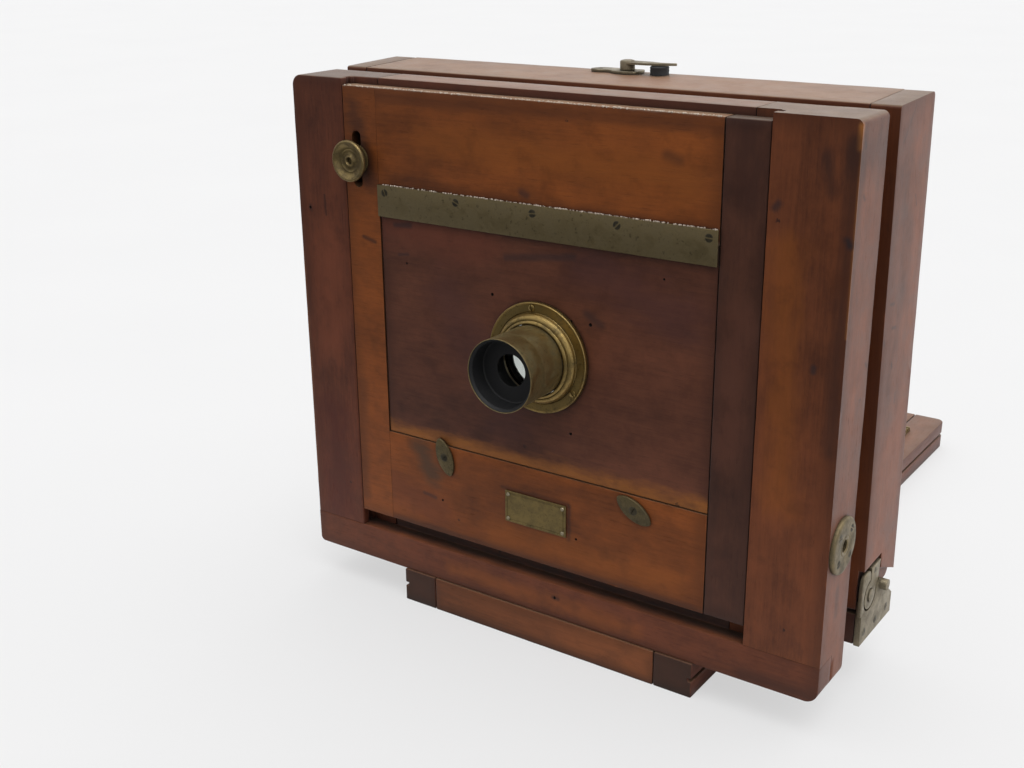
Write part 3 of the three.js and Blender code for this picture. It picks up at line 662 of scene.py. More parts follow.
ORANGE = (0.46, 0.17, 0.04)
BARE_EDGE = (0.33, 0.125, 0.04)
# pale lines along edges: dust, and a painted highlight where a rounded edge catches the light
DUST_AND_EDGE_HIGHLIGHT = (0.42, 0.33, 0.27)
INK = (0.020, 0.016, 0.020)
STAIN = (0.030, 0.012, 0.009)
WARM = (0.31, 0.088, 0.012)
GOLD_WOOD = (0.36, 0.125, 0.022)
PLUM = (0.070, 0.026, 0.026)
GHOST = (0.085, 0.040, 0.020)
# near-black, laid along the front bottom rail's top face
NEAR_BLACK_LEDGE_LINE = (0.030, 0.022, 0.020)

MAHOGANY_TONE = (0.155, 0.043, 0.016)
RED_TONE = (0.135, 0.036, 0.017)
HONEY_TONE = (0.224, 0.059, 0.0115)
DARK_TONE = (0.075, 0.026, 0.016)

# node: (tone, direction of the grain, contrast of the figure)
BOARDS = {
    "front_left_stile": (RED_TONE, "z", 1.0),
    "front_right_stile": (MAHOGANY_TONE, "z", 1.1),
    "front_top_rail": (RED_TONE, "x", 0.9),
    "front_bottom_rail": ((0.135, 0.036, 0.015), "x", 1.0),
    "panel_left_stile": (HONEY_TONE, "x", 0.9),
    "panel_right_stile": (DARK_TONE, "z", 0.8),
    "panel_top_rail": (HONEY_TONE, "x", 0.9),
    "panel_bottom_rail": (HONEY_TONE, "x", 0.9),
    "lens_board": ((0.115, 0.037, 0.021), "x", 0.9),
    "bed_front_rail": ((0.175, 0.053, 0.017), "x", 1.1),
    "bed_left_rail": (RED_TONE, "y", 1.0),
    "bed_right_rail": (RED_TONE, "y", 1.0),
    "bed_centre_board": (HONEY_TONE, "y", 1.0),
    "tail_left_rail": (RED_TONE, "y", 1.0),
    "tail_right_rail": (RED_TONE, "y", 1.0),
    "tail_front_rail": (MAHOGANY_TONE, "x", 1.0),
    "tail_rear_rail": (MAHOGANY_TONE, "x", 1.0),
    "carriage_sill": (DARK_TONE, "x", 0.9),
    "back_left_side": (MAHOGANY_TONE, "z", 1.0),
    "back_right_side": (MAHOGANY_TONE, "z", 1.0),
    "back_top_board": (MAHOGANY_TONE, "x", 1.0),
    "back_bottom_board": (MAHOGANY_TONE, "x", 1.0),
    "plate_frame": (DARK_TONE, "x", 0.8),
    "focus_frame": (MAHOGANY_TONE, "x", 1.0),
}

# boards that look like one piece of wood
MATCHED = ("panel_left_stile", "panel_top_rail", "panel_bottom_rail")

# faces drawn out to meet their glued neighbour: axis, place and shift in millimetres
CLOSED_JOINTS = {
    "panel_left_stile": [(0, -102.0, 0.14)],
    "panel_top_rail": [(0, -101.7, -0.14)],
    "panel_bottom_rail": [(0, -101.7, -0.14)],
    "front_left_stile": [(2, 40.3, -0.28), (1, 15.3, -0.28)],
    "front_right_stile": [(2, 40.3, -0.28), (1, 15.3, -0.28)],
}

# how far edges are rounded
USUAL_EDGE = 0.7 * MM
FINE_EDGES = {node: 0.3 * MM for node in (*MATCHED, "front_top_rail", "front_bottom_rail")}

# how much darker the end grain is
USUAL_END = 0.7
ENDS = {"front_bottom_rail": 0.1, "front_top_rail": 0.2, "bed_left_rail": 0.85,
        "bed_right_rail": 0.85}

# wear, stains, dust and painted edge highlights on a board: lines from start to end, half width, colour, strength
MARKS = {
    "front_right_stile": [
        ((159.5, 0, 287), (159.5, 0, 296), 1.8, ORANGE, 0.95),
        ((160, 0, 205), (160, 0, 285), 0.9, ORANGE, 0.45),
        ((156, 0, 150), (157, 0, 290), 4.0, STAIN, 0.5),
        ((148, 0, 268), (146, 0, 282), 4.0, STAIN, 0.6),
        ((125, 0, 260), (123, 0, 258), 2.2, INK, 0.7),
        ((157, 0, 248), (158, 0, 246), 2.2, INK, 0.9),
        ((146, 0, 189), (146, 0, 187), 1.4, INK, 0.7),
        ((130, 0, 240), (134, 0, 120), 9.0, WARM, 0.45),
        ((160, 27, 186), (160, 29, 184), 1.0, STAIN, 0.7),
        ((160, 4, 289), (160, 5, 287), 1.0, STAIN, 0.6),
        ((160, 7, 266), (160, 9, 264), 1.0, STAIN, 0.6),
        ((160, 16, 75), (160, 16, 62), 3.0, STAIN, 0.5),
        ((160, 4, 284), (160, 27, 284), 13.0, STAIN, 0.55),
    ],
    "front_left_stile": [
        ((-152, 0, 228), (-152, 0, 226), 1.3, STAIN, 0.7),
        ((-141, 0, 235), (-140.5, 0, 224), 0.6, STAIN, 0.8),
        ((-160, 0, 60), (-160, 0, 200), 1.5, BARE_EDGE, 0.4),
        ((-143, 0, 45), (-143, 0, 105), 14.0, (0.075, 0.015, 0.009), 0.75),
        ((-140, 0, 150), (-139, 0, 205), 13.0, (0.22, 0.060, 0.026), 0.6),
    ],
    "panel_right_stile": [
        ((108, 0.3, 262), (108, 0.3, 295), 11.0, (0.038, 0.013, 0.009), 0.6),
        ((106, 0.3, 140), (108, 0.3, 205), 9.0, (0.115, 0.040, 0.024), 0.6),
    ],
    "front_bottom_rail": [
        # a near-black line along the rail's top face, behind its front edge
        ((-124, 8, 42), (120, 8, 42), 5.0, NEAR_BLACK_LEDGE_LINE, 0.95),
        ((-60, 0, 30), (60, 0, 28), 5.0, WARM, 0.4),
        ((9, 0, 32), (12, 0, 32), 1.3, STAIN, 0.7),
        ((120, 0, 24), (158, 0, 24), 4.0, STAIN, 0.4),
    ],
    "lens_board": [
        ((-100, 0.8, 104), (97, 0.8, 104), 7.0, GOLD_WOOD, 0.85),
        ((-95, 0.8, 225), (-40, 0.8, 222), 14.0, (0.16, 0.042, 0.022), 0.6),
        ((-60, 0.8, 190), (-20, 0.8, 130), 16.0, PLUM, 0.4),
        ((30, 0.8, 215), (80, 0.8, 200), 14.0, PLUM, 0.5),
        ((-92, 0.8, 224), (-82, 0.8, 225), 1.6, INK, 0.6),
        ((-90, 0.8, 208), (-84, 0.8, 209), 1.2, INK, 0.5),
        ((-20, 0.8, 216), (20, 0.8, 222), 2.0, INK, 0.5),
        ((28, 0.8, 194), (36, 0.8, 190), 2.6, INK, 0.5),
    ],
    "panel_top_rail": [
        # pale lines of dust and painted edge highlight
        ((-101, 0.3, 297), (97, 0.3, 297), 1.6, DUST_AND_EDGE_HIGHLIGHT, 0.8),
        ((-101, 0.3, 290), (97, 0.3, 290), 3.5, STAIN, 0.35),
        ((70, 0.3, 276), (76, 0.3, 274), 3.0, STAIN, 0.6),
        ((-10, 0.3, 250), (-7, 0.3, 249), 2.4, INK, 0.55),
        ((-70, 0.3, 270), (80, 0.3, 266), 10.0, WARM, 0.5),
        ((-90, 0.3, 248), (90, 0.3, 243), 4.0, STAIN, 0.35),
        ((-101, 0.3, 237.6), (97, 0.3, 237.6), 1.2, DUST_AND_EDGE_HIGHLIGHT, 0.5),
    ],
    "panel_left_stile": [
        # pale line of dust and painted edge highlight along the top edge
        ((-124, 0.3, 297), (-101, 0.3, 297), 1.6, DUST_AND_EDGE_HIGHLIGHT, 0.7),
        ((-118, 0.3, 285), (-108, 0.3, 245), 6.0, STAIN, 0.6),
        ((-114, 0.3, 215), (-106, 0.3, 213), 1.2, STAIN, 0.7),
        ((-122, 0.3, 60), (-120, 0.3, 130), 4.0, STAIN, 0.3),
    ],
    "panel_bottom_rail": [
        ((-110, 0.3, 70), (-70, 0.3, 66), 11.0, (0.13, 0.034, 0.014), 0.6),
        ((-79, 0.3, 96), (-72, 0.3, 85), 7.5, GHOST, 0.95),
        ((-78, 0.3, 72), (-70, 0.3, 71), 1.2, INK, 0.5),
        ((-24, 0.3, 89), (18, 0.3, 89), 1.6, STAIN, 0.5),
        ((18.5, 0.3, 69), (18.5, 0.3, 88), 1.4, STAIN, 0.6),
        ((-100, 0.3, 51), (97, 0.3, 51), 2.5, STAIN, 0.5),
        ((-30, 0.3, 60), (80, 0.3, 62), 8.0, WARM, 0.4),
    ],
    "back_right_side": [
        ((160, 60, 282), (160, 74, 297), 0.45, STAIN, 0.8),
        ((160, 83, 254), (160, 85, 249), 0.8, STAIN, 0.7),
        ((160, 60, 207), (160, 65, 206), 0.8, STAIN, 0.7),
        ((160, 65, 194), (160, 70, 193), 0.8, STAIN, 0.7),
        ((160, 68, 175), (160, 69, 173), 1.2, STAIN, 0.7),
        ((160, 55, 190), (160, 56, 188), 1.0, STAIN, 0.6),
        ((160, 77, 157), (160, 77, 152), 0.8, STAIN, 0.6),
    ],
}

# how much dust and painted top sheen lies on the upward faces
USUAL_TOP_DUST_AND_SHEEN = 0.3
TOP_DUST_AND_SHEEN_AMOUNTS = {
    "panel_top_rail": 0.8,
    "panel_left_stile": 0.8,
    "panel_right_stile": 0.25,
    "front_top_rail": 0.5,
    "front_right_stile": 0.5,
    "front_left_stile": 0.3,
    "front_bottom_rail": 0.1,
    "back_top_board": 0.65,
    "back_left_side": 0.5,
    "back_right_side": 0.5,
}

# old nail holes in the front, as (x, z, radius)
NAIL_HOLES = {
    "lens_board": [(-29, 195.5, 1.0), (30, 189, 1.1), (19, 189, 0.9), (19, 129, 1.0),
                   (-85, 204, 0.7), (70, 218, 0.7)],
    "panel_bottom_rail": [(-65, 70.5, 0.8), (23, 70.5, 0.8)],
    "front_left_stile": [(-152, 227, 0.9)],
    "front_bottom_rail": [(10, 32, 0.9)],
}


def nail_hole(x, z, radius, draw):
    """An uneven cone that is cut into a front face."""
    shape = lathe([(0, -3.0), (radius * 0.7, -2.0), (radius, 0.6), (radius * 1.3, 1.4), (0, 1.4)], 10)
    for vertex in shape.verts:
        vertex.co.x *= draw.uniform(0.75, 1.25)
        vertex.co.y *= draw.uniform(0.75, 1.25)
    return turned_to(shape, Vector((x, 0.3, z)) * MM, -Y)


def cut_holes(made, holes):
    """Cuts nail holes into a board, and gives their walls the holes' own dark material."""
    draw = random.Random(made.name)
    cutters = bmesh.new()
    for x, z, radius in holes:
        add_shape(cutters, nail_hole(x, z, radius, draw))
    mesh = to_mesh(cutters, "cutter")
    mesh.materials.append(HOLE_DARK)
    cutter = put("cutter", mesh)
    change = made.modifiers.new("holes", "BOOLEAN")
    change.operation = "DIFFERENCE"
    change.object = cutter
    change.material_mode = "TRANSFER"
    settled = made.evaluated_get(bpy.context.evaluated_depsgraph_get())
    result = bpy.data.meshes.new_from_object(settled)
    made.modifiers.clear()
    made.data = result
    bpy.data.objects.remove(cutter)


def build_boards():
    """Every wooden board, with its own wood, edges, marks and nail holes."""
    for node, (tone, grain, contrast) in BOARDS.items():
        looks = Wood(node, tone, grain).finished(MARKS.get(node, ()), contrast,
                                                 TOP_DUST_AND_SHEEN_AMOUNTS.get(node, USUAL_TOP_DUST_AND_SHEEN),
                                                 ENDS.get(node, USUAL_END))
        made = board(node, looks, FINE_EDGES.get(node, USUAL_EDGE))
        if node in NAIL_HOLES:
            cut_holes(made, NAIL_HOLES[node])


# ---- flat brass fittings ----------------------------------------------------------------
def curve(start, control, end):
    """Ten points of a quadratic curve, without its first."""
    points = []
    for i in range(1, 11):
        t = i / 10
        points.append(tuple(start[k] * (1 - t) ** 2 + control[k] * 2 * t * (1 - t) + end[k] * t ** 2
                            for k in range(2)))
    return points


def flat_plate(outline, thickness, rounding):
    """A plate about +Z: its back on z = 0, its outline in millimetres, its front edge rounded."""
    shape = bmesh.new()
    corners = [shape.verts.new((u * MM, v * MM, 0)) for u, v in outline]
    shape.faces.new(corners)
    back = shape.faces[:]
    made = bmesh.ops.extrude_face_region(shape, geom=back, use_keep_orig=True)
    raised = [part for part in made["geom"] if isinstance(part, bmesh.types.BMVert)]
    bmesh.ops.translate(shape, vec=(0, 0, thickness * MM), verts=raised)
    bmesh.ops.recalc_face_normals(shape, faces=shape.faces)
    rim = [edge for edge in shape.edges if all(corner in raised for corner in edge.verts)]
    bevel(shape, rim, rounding * MM, 3)
    return shape


def facing_front(shape, x, y, z, turn=0.0):
    """Stands a shape made about +Z upright, with its front towards -Y, after a turn in degrees."""
    spin = Matrix.Rotation(math.radians(turn), 4, "Z")
    upright = Matrix.Translation(Vector((x, y, z)) * MM) @ Matrix.Rotation(math.radians(90), 4, "X")
    return carried(shape, upright @ spin)


def build_strip():
    fitting("lens_board_strip", GREY_BRASS, 0.25 * MM)
    spots = [(x * MM, -1 * MM, 241 * MM) for x in (-97, -50, -3, 45, 93)]
    screws("strip_screws", "rising_front", spots, -Y, 2.1, SCREW_METAL, 0.15, 0.8)


def build_nameplate():
    """A blank plate with a raised border, held by four pins."""
    low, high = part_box("nameplate")
    middle = (low + high) / 2
    half_x, half_z = (high.x - low.x) / 2 / MM, (high.z - low.z) / 2 / MM
    shape = flat_plate([(-half_x, -half_z), (half_x, -half_z), (half_x, half_z), (-half_x, half_z)],
                       0.7, 0.25)
    front = max(shape.faces, key=lambda face: face.calc_center_median().z * 1000 + face.calc_area())
    for inset, lift in ((1.3, 0.0), (0.25, -0.18), (0.5, 0.0), (0.25, 0.16)):
        bmesh.ops.inset_region(shape, faces=[front], thickness=inset * MM, depth=lift * MM)
    facing_front(shape, middle.x / MM, 0.2, middle.z / MM)
    worn_piece("nameplate", shape, PLATE_BRASS)
    whole = bmesh.new()
    for x in (low.x + 2 * MM, high.x - 2 * MM):
        for z in (low.z + 2 * MM, high.z - 2 * MM):
            pin = lathe([(0, 0.75), (0.6, 0.65), (1.0, 0.35), (1.15, 0), (1.0, -0.4), (0, -0.4)], 20)
            add_shape(whole, turned_to(pin, Vector((x, low.y, z)), -Y))
    pins = piece("nameplate_pins", to_mesh(whole, "pins"), "rising_front", PIN_METAL)


def build_turn_buttons():
    """Two pointed ovals that hold the lens board in."""
    long, half = 11.0, 5.2
    outline = []
    for side in (-1, 1):
        for i in range(24):
            turn = math.pi * (i + 0.5) / 24
            outline.append((side * half * math.sin(turn) ** 1.25, -side * long * math.cos(turn)))
    for side, x, z, turn in (("left", -62, 97.6, 20), ("right", 57.4, 96.4, 60)):
        shape = facing_front(flat_plate(outline, 1.2, 0.35), x, 0.1, z, turn)
        node = "turn_button_" + side
        worn_piece(node, shape, GREY_BRASS)
        screws("button_screw_" + side, BODY_OF[node], [(x * MM, -1.1 * MM, z * MM)], -Y, 2.4,
               SCREW_METAL, 0.5, 0.6)


def build_side_bush():
    """Threaded brass disc let into the right side of the front, held by four screws."""
    node = "side_tripod_bush"
    centre = Vector((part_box("front_right_stile")[1].x, 15 * MM, 99.5 * MM))
    threads = [(3.5 if i % 2 else 3.1, 1.6 - 0.35 * i) for i in range(22)]
    profile = [(14.3, -0.2), (14.3, 1.2), (13.9, 1.8), (13.2, 2.1), (12.6, 2.2), (5.6, 2.2),
               (5.2, 2.0), (4.8, 2.2), (4.0, 2.2), (3.4, 1.9)]
    shape = turned_to(lathe(profile + threads + [(3.6, -6.2), (14.0, -0.4)]), centre, X)
    worn_piece(node, shape, BUSH_BRASS)
    spots = [centre + Vector((2.2, y, z)) * MM for y in (-7.1, 7.1) for z in (-6.7, 6.7)]
    screws("side_bush_screws", "bed", spots, X, 2.1, SCREW_METAL, 0.15, 0.7)


def build_swing_fittings():
    for side, sign in (("left", -1), ("right", 1)):
        fitting("swing_plate_" + side, SWING_BRASS, 0.2 * MM)
        fitting("swing_tongue_" + side, LEANING_BRASS, 0.2 * MM)
        fitting(f"carriage_{side}_runner", GREY_BRASS, 0.3 * MM)
        spots = [Vector((sign * 160.2, y, 31.5)) * MM for y in (59, 75, 91)]
        screws("swing_plate_screws_" + side, "carriage", spots, sign * X, 2.2, SCREW_METAL, 0.15, 0.6)
        spots = [on_back(sign * 160.2, 5.5, 11.8)]
        screws("swing_tongue_screw_" + side, "back", spots, sign * X, 1.7, SCREW_METAL, 0.15, 0.5)


def build_rise_clamp():
    """Dished knob and the screw that clamps the rising panel."""
    node = "rise_clamp_knob"
    profile = [(0, 4.9), (1.4, 5.0), (1.7, 6.2), (2.2, 6.7), (2.9, 6.5), (3.3, 5.9), (3.7, 5.5),
               (5.6, 5.6), (5.9, 5.85), (6.3, 5.7), (7.6, 6.1), (8.6, 6.9), (9.3, 7.6), (9.8, 7.85),
               (10.5, 7.8), (11.0, 7.3), (11.2, 6.6), (11.0, 5.8), (10.4, 5.2), (8.0, 4.1),
               (6.0, 3.3), (4.8, 2.6), (4.6, 1.2), (4.9, 1.0), (8.0, 0.9), (8.0, 0.05), (2.4, 0.05),
               (2.4, -22), (0, -22)]
    shape = turned_to(lathe(profile, 120, 10.2, 0.22), Vector((-116, 0, 257)) * MM, -Y)
    worn_piece(node, shape, OLD_BRASS, TURNED_SMOOTH)


def build_dust():
    """Pale specks that have gathered along two ledges of the front panel."""
    ball = bmesh.new()
    bmesh.ops.create_icosphere(ball, subdivisions=1, radius=1)
    corners = [vertex.co.copy() for vertex in ball.verts]
    sides = [[vertex.index for vertex in face.verts] for face in ball.faces]
    ball.free()
    draw = random.Random("dust")
    points, faces = [], []
    for low, high, y, z, largest, count in ((-101, 97, -0.5, 245.2, 0.6, 420),
                                            (-123, 97, 0.9, 295.3, 0.7, 480)):
        for _ in range(count):
            size = largest * draw.uniform(0.25, 1.0) ** 1.5
            place = Vector((draw.uniform(low, high), y + draw.uniform(-0.4, 0.4), z))
            faces += [[len(points) + i for i in side] for side in sides]
            points += [(place + corner * size * draw.uniform(0.6, 1.1)) * MM for corner in corners]
    mesh = bpy.data.meshes.new("dust")
    mesh.from_pydata(points, [], faces)
    made = piece("dust_specks", mesh, "rising_front", fluff("dust"))


# ---- lens -------------------------------------------------------------------------------
LENS_CENTRE = Vector((0, 0, 167)) * MM


def turned_on_lens_axis(profile):
    """Turned about the lens axis; distances are millimetres in front of the panel's face."""
    return turned_to(lathe(softened(profile, 0.12), 128), LENS_CENTRE, -Y)


def lens_extra(name, profile, material):
    """A turned piece of the lens that the CAD does not have."""
    mesh = to_mesh(turned_on_lens_axis(profile), name)
    return piece(name, mesh, "lens", material, TURNED_SMOOTH)


def build_lens():
    flange = [(18.9, -0.7), (29.2, -0.7), (29.4, 1.0), (29.35, 1.7), (29.1, 2.15), (28.7, 2.3),
              (28.3, 2.1), (28.1, 1.9), (24.4, 2.2), (24.1, 1.9), (23.8, 2.4), (23.5, 3.6),
              (22.8, 4.7), (21.9, 5.4), (21.0, 5.6), (20.7, 5.3), (20.4, 5.7), (19.6, 6.3),
              (18.9, 6.3)]
    worn_piece("lens_flange", turned_on_lens_axis(flange), GOLDEN_BRASS, TURNED_SMOOTH)
    barrel = [(17.05, -0.4), (18.5, -0.4), (18.5, 5.0), (18.55, 22.6), (18.3, 22.9), (18.1, 33.0),
              (17.4, 33.0), (17.3, 10.0)]
    worn_piece("lens_barrel", turned_on_lens_axis(barrel), BARREL_BRASS, TURNED_SMOOTH)
    hood = [(18.45, 22.5), (18.75, 22.7), (18.85, 30.0), (19.0, 34.3), (18.95, 34.9), (18.75, 35.0),
            (18.6, 34.9), (18.5, 34.0), (18.2, 24.0)]
    worn_piece("lens_hood", turned_on_lens_axis(hood), BARREL_BRASS, TURNED_SMOOTH)
    stop = [(8.3, 24.2), (8.5, 24.6), (16.2, 24.6), (16.8, 25.0), (17.3, 33.2), (18.3, 34.5),
            (18.55, 34.6), (18.3, 33.3), (17.5, 33.1), (17.3, 23.6), (8.9, 23.6)]
    worn_piece("lens_stop", turned_on_lens_axis(stop), LENS_BLACK, TURNED_SMOOTH)
    lining = [(16.9, 23.4), (17.25, 23.4), (17.25, 7.7), (16.4, 7.7), (16.4, 8.2), (16.9, 8.4)]
    made = lens_extra("lens_lining", lining, LENS_BLACK)
    seat = [(16.3, 6.4), (17.0, 6.4), (17.0, 7.6), (16.5, 7.7), (16.35, 7.5)]
    made = lens_extra("lens_seat_ring", seat, PIN_METAL)
    outer = 16.9
    curve_shares = [i / 14 for i in range(13)]
    front = [(outer * t, 6.2 - 1.8 * (1 - t * t)) for t in curve_shares]
    rear = [(outer * t, 2.6 - 2.4 * (1 - t * t)) for t in reversed(curve_shares)]
    shape = lathe(front + [(outer, 6.2), (outer, 2.6)] + rear, 96)
    turned_to(shape, LENS_CENTRE, -Y)
    worn_piece("lens_glass", shape, clear_glass("lens_glass"), TURNED_SMOOTH)
    ring = [(14.6, 1.2), (14.8, 1.6), (16.3, 2.0), (16.9, 2.0), (16.9, -0.1), (14.8, -0.1)]
    worn_piece("lens_retaining_ring", turned_on_lens_axis(ring), BLACK_METAL, TURNED_SMOOTH)
    around = [math.radians(angle) for angle in (96, -34, 211)]
    spots = [LENS_CENTRE + Vector((26.2 * math.cos(a), -2.25, 26.2 * math.sin(a))) * MM
             for a in around]
    screws("lens_flange_screws", "rising_front", spots, -Y, 1.9, GOLDEN_BRASS, 0.35, 0.75)


# ---- back's fittings --------------------------------------------------------------------
def leaned(shape):
    """Carries a shape drawn in the back's straight frame to where the back stands."""
    return carried(shape, LEANING)


def lifted(shape, height):
    """Raises a shape by a height in millimetres."""
    bmesh.ops.translate(shape, vec=(0, 0, height * MM), verts=shape.verts)
    return shape


TOP = 248.9                              # top of the back above its pivot, with the joint line
LATCH_X, LATCH_Y = 0.5, 28.5


def build_latch():
    y = LATCH_Y
    plate = [(-21, y - 1)]
    for control, end in (((-19.5, y - 5), (-14, y - 4)), ((-9, y - 2), (-6, y - 5)),
                         ((1, y - 8), (8, y - 5)), ((10.5, y), (8, y + 5))):
        plate += curve(plate[-1], control, end)
    plate.append((-14, y + 5))
    plate += curve(plate[-1], (-20, y + 5), (-21, y - 1))[:-1]
    shape = leaned(lifted(flat_plate(plate, 1.2, 0.35), TOP))
    worn_piece("latch_plate", shape, LEANING_BRASS)
    arm = [(LATCH_X, y - 3.5)] + curve((LATCH_X, y - 3.5), (14, y - 6), (29, y + 0.5))
    arm.append((28.5, y + 2))
    arm += curve(arm[-1], (20, y), (15, y + 2.5)) + [(LATCH_X, y + 3.5)]
    whole = lifted(flat_plate(arm, 1.2, 0.3), TOP + 4.6)
    boss = lathe([(0, 6.3), (2.6, 6.4), (3.6, 6.1), (3.9, 5.6), (3.9, 1.5), (0, 1.5)], 48)
    place = Vector((LATCH_X, LATCH_Y, TOP)) * MM
    add_shape(whole, turned_to(boss, place, Z))
    worn_piece("latch_hook", leaned(whole), LEANING_BRASS)
    post = lathe([(0, 4.2), (4.3, 4.2), (4.8, 3.9), (5, 3.3), (4.8, 2.6), (5, 2.0), (4.8, 0.6),
                  (5, 0.2), (5, 0), (0, 0)], 48)
    turned_to(post, Vector((19.5, LATCH_Y, TOP)) * MM, Z)
    worn_piece("latch_post", leaned(post), BLACK_METAL)
    up = (LEANING.to_3x3() @ Z).normalized()
    spot = on_back(-16, LATCH_Y, TOP + 1.2)
    screws("latch_screws", "back", [spot], up, 1.6, SCREW_METAL, 0.2, 0.5)


def build_back_fittings():
    for node in ("focus_hinge_fixed_leaf", "focus_hinge_moving_leaf", "focus_frame_catch"):
        fitting(node, LEANING_BRASS, 0.15 * MM)
    out = (LEANING.to_3x3() @ Y).normalized()
    face = 35.8 + 0.3 + 1.2
    for body, x in (("back", -154.5), ("focusing_frame", -134.5)):
        spots = [on_back(x, face, 121.5 + z) for z in (-48, -16, 16, 48)]
        screws("focus_hinge_screws_" + body, body, spots, out, 2.0, SCREW_METAL, 0.2, 0.5)
    screws("catch_screw", "catch", [on_back(152.8, 35.8 + 2.6, 121.5)], out, 2.4, SCREW_METAL, 0.25,
           0.6)
    NODES["ground_glass"].data.materials[0] = ground_glass("ground_glass")


# ---- bed's fittings and the focusing drive ----------------------------------------------
def build_bed_fittings():
    for side in ("left", "right"):
        for part in ("bed", "tail"):
            NODES[f"{part}_rack_{side}"].data.materials[0] = OLD_BRASS
    for node in ("tail_hinge_fixed_leaf", "tail_hinge_moving_leaf"):
        fitting(node, OLD_BRASS, 0.15 * MM)
    for body, y in (("bed", 121.0), ("tailboard", 139.4)):
        spots = [Vector((x, y, 21.2)) * MM for x in (-50, -25, 0, 25, 50)]
        screws("tail_hinge_screws_" + body, body, spots, Z, 2.1, SCREW_METAL, 0.2, 0.5)
    centre = Vector((0, 86, 0)) * MM
    plate = [(4.9, 1.6), (4.9, 2.7), (18.9, 2.7), (19.0, 1.5), (18.5, 1.05), (5.6, 1.0)]
    shape = turned_to(lathe(softened(plate, 0.2)), centre, Z)
    worn_piece("tripod_plate", shape, OLD_BRASS)
    around = [math.radians(angle) for angle in (90, 210, 330)]
    spots = [centre + Vector((12 * math.cos(a), 12 * math.sin(a), 1.0)) * MM for a in around]
    screws("tripod_plate_screws", "bed", spots, -Z, 2.2, SCREW_METAL, 0.1, 0.6)


def build_focus_drive():
    """Milled knob on the left end of the pinion shaft."""
    low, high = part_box("focus_knob")
    centre = Vector((high.x, (low.y + high.y) / 2, (low.z + high.z) / 2))
    profile = [(2.8, 9.8), (3.2, 9.9), (9.5, 9.3), (11.6, 9.8), (12.6, 10.5), (13.4, 10.5),
               (14.0, 10.0), (14.0, 4.2), (13.4, 3.7), (7.4, 3.6), (6.6, 3.2), (6.5, 0.2), (6.2, 0),
               (2.8, 0)]
    shape = turned_to(lathe(profile, 120, 13.6, 0.45), centre, -X)
    worn_piece("focus_knob", shape, OLD_BRASS, TURNED_SMOOTH)
    NODES["focus_pinion_shaft"].data.materials[0] = OLD_BRASS


# ---- bellows ----------------------------------------------------------------------------
def evened(share):
    """The place along a blend where a point follows the second body by that share."""
    return 0.5 - math.sin(math.asin(1 - 2 * share) / 3)


def pleated_tube(name, half_width, low, high, start, end, pleats, depth):
    """Square bellows from start to end: the rings of its folds step in and out by depth."""
    shape = bmesh.new()
    rings = []
    count = pleats * 2
    for i in range(count + 1):
        t = evened(i / count)
        inset = depth if i % 2 else 0.0
        fold = start.lerp(end, t)
        chamfer = 6 * MM + inset * 0.4
        x = half_width - inset
        z0, z1 = low.z + inset, high.z - inset
        outline = [(-x + chamfer, z0), (x - chamfer, z0), (x, z0 + chamfer), (x, z1 - chamfer),
                   (x - chamfer, z1), (-x + chamfer, z1), (-x, z1 - chamfer), (-x, z0 + chamfer)]
        rings.append([shape.verts.new((a, fold.y, b)) for a, b in outline])
    for first, second in zip(rings, rings[1:]):
        for i in range(len(first)):
            j = (i + 1) % len(first)
            shape.faces.new((first[i], first[j], second[j], second[i]))
    mesh = to_mesh(shape, name)
    mesh.materials.append(LEATHER)
    made = put(name, mesh)
    thick = made.modifiers.new("thickness", "SOLIDIFY")
    thick.thickness = 0.5 * MM
    thick.offset = 0
    return made


def build_bellows():
    low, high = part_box("bellows_front")
    front_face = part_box("front_top_rail")[1].y
    middle = Vector((0, high.y, 0))
    start = Vector((0, front_face + 0.4 * MM, 0))
    front = pleated_tube("bellows_front_leather", high.x, low, high, start, middle, 10, 12 * MM)
    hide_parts("bellows_front")
    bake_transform(front)
    low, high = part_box("bellows_rear")
    end = Vector((0, high.y - 2 * MM, 0))
    rear = pleated_tube("bellows_rear_leather", high.x, low, high, middle, end, 6, 12 * MM)
    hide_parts("bellows_rear")
    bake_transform(rear)


# ---- scene ------------------------------------------------------------------------------
def aim(made, place, target):
    """Puts a camera or light at a place, looking at a target."""
    made.location = place
    made.rotation_mode = "QUATERNION"
    made.rotation_quaternion = (Vector(target) - Vector(place)).to_track_quat("-Z", "Y")


SENSOR_WIDTH, FOCAL_LENGTH = 36, 45.89   # millimetres
CAMERA_PLACE = (0.34907, -0.52294, 0.37906)
CAMERA_TARGET = (-0.01663, 0, 0.14932)
CAMERA_ROLL = -0.0101


def build_camera():
    """The photograph's own viewpoint."""
    data = bpy.data.cameras.new("photograph")
    data.sensor_width = SENSOR_WIDTH
    data.lens = FOCAL_LENGTH
    made = put("photograph", data)
    bpy.context.scene.camera = made
    aim(made, CAMERA_PLACE, CAMERA_TARGET)
    roll = Matrix.Rotation(CAMERA_ROLL, 3, "Z").to_quaternion()
    made.rotation_quaternion = made.rotation_quaternion @ roll
    data.clip_start = 0.02


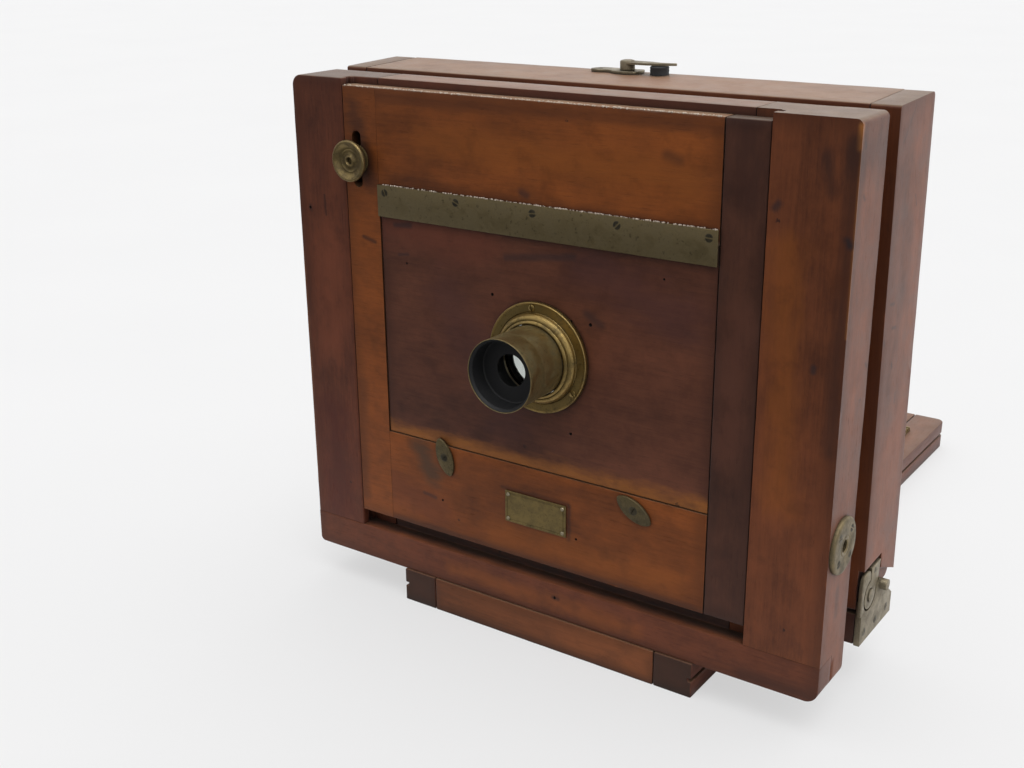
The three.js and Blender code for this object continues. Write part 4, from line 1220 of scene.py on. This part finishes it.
def build_floor():
    """Pale cloth. Reflections and bounced light see it end at a table's front edge."""
    shape = bmesh.new()
    bmesh.ops.create_grid(shape, x_segments=1, y_segments=1, size=12)
    mesh = to_mesh(shape, "floor")
    shader = Shader("floor_cloth")
    point = shader.place()
    cloud = shader.noise(point, 0.004, 3)
    depth = shader.node("SeparateXYZ", {0: point}).outputs[1]
    bounced = shader.mix(shader.ramp(depth, -380, 80, 0.08, 1.0), (0, 0, 0), (0.74, 0.74, 0.745))
    shown = shader.mix(cloud, (0.24, 0.24, 0.243), (0.26, 0.26, 0.262))
    seen = shader.node("LightPath").outputs["Is Camera Ray"]
    glow = shader.times(seen, 0.575)
    mesh.materials.append(shader.finish(Base_Color=shader.mix(seen, bounced, shown), Roughness=0.9,
                                        IOR=1.05, Emission_Color=(1, 1, 1), Emission_Strength=glow))
    floor = put("floor", mesh)


# how bright the room is towards each side: axis, sign, brightness
ROOM = {
    "left": (0, -1, 0.85),
    "right": (0, 1, 1.15),
    "front": (1, -1, 0.48),
    "back": (1, 1, 1.75),
    "top": (2, 1, 1.4),
}
WALL_COLOUR = (0.87, 0.87, 0.87)         # what the camera itself sees behind the object

# a ceiling lamp that puts highlights on turned brass; its edge is soft between two cosines
LAMP_DIRECTION = Vector((0.30, -0.32, 0.90)).normalized()
LAMP_EDGE = (0.968, 0.99)
LAMP_BRIGHTNESS = 4.2


def build_world():
    """Pale walls all round, dimmer towards the front, from where the photograph is taken."""
    shader = Shader("studio", "World")
    bpy.context.scene.world = shader.owner
    direction = shader.node("TexCoord").outputs["Generated"]
    parts = shader.node("SeparateXYZ", {0: direction}).outputs
    strength = 0.0
    for axis, sign, brightness in ROOM.values():
        share = shader.math("MAXIMUM", shader.times(parts[axis], sign), 0.0)
        share = shader.times(shader.times(share, share), brightness)
        strength = shader.math("ADD", strength, share)
    outer, inner = LAMP_EDGE
    towards = shader.vector("DOT_PRODUCT", direction, LAMP_DIRECTION)
    glow = shader.math("SUBTRACT", towards, outer)
    glow = shader.math("DIVIDE", glow, inner - outer, clamp=True)
    strength = shader.math("ADD", strength, shader.times(glow, LAMP_BRIGHTNESS))
    light = shader.node("Background", {"Strength": strength})
    seen = shader.node("Background", {"Color": WALL_COLOUR})
    camera = shader.node("LightPath").outputs["Is Camera Ray"]
    both = shader.node("MixShader", {0: camera, 1: light.outputs[0], 2: seen.outputs[0]})
    shader.feed(shader.output.inputs[0], both.outputs[0])


def build_sun():
    """A broad soft light from above, a little behind and to the right."""
    data = bpy.data.lights.new("overhead", "SUN")
    data.energy = 0.8
    data.angle = math.radians(80)
    made = put("overhead", data)
    aim(made, (0.4, 0.2, 2.4), (0, 0, 0))


build_boards()
build_strip()
build_nameplate()
build_turn_buttons()
build_side_bush()
build_rise_clamp()
build_dust()
build_lens()
build_swing_fittings()
build_latch()
build_back_fittings()
build_bed_fittings()
build_focus_drive()
build_bellows()
build_camera()
build_floor()
build_world()
build_sun()
bpy.context.scene.view_settings.view_transform = "Standard"
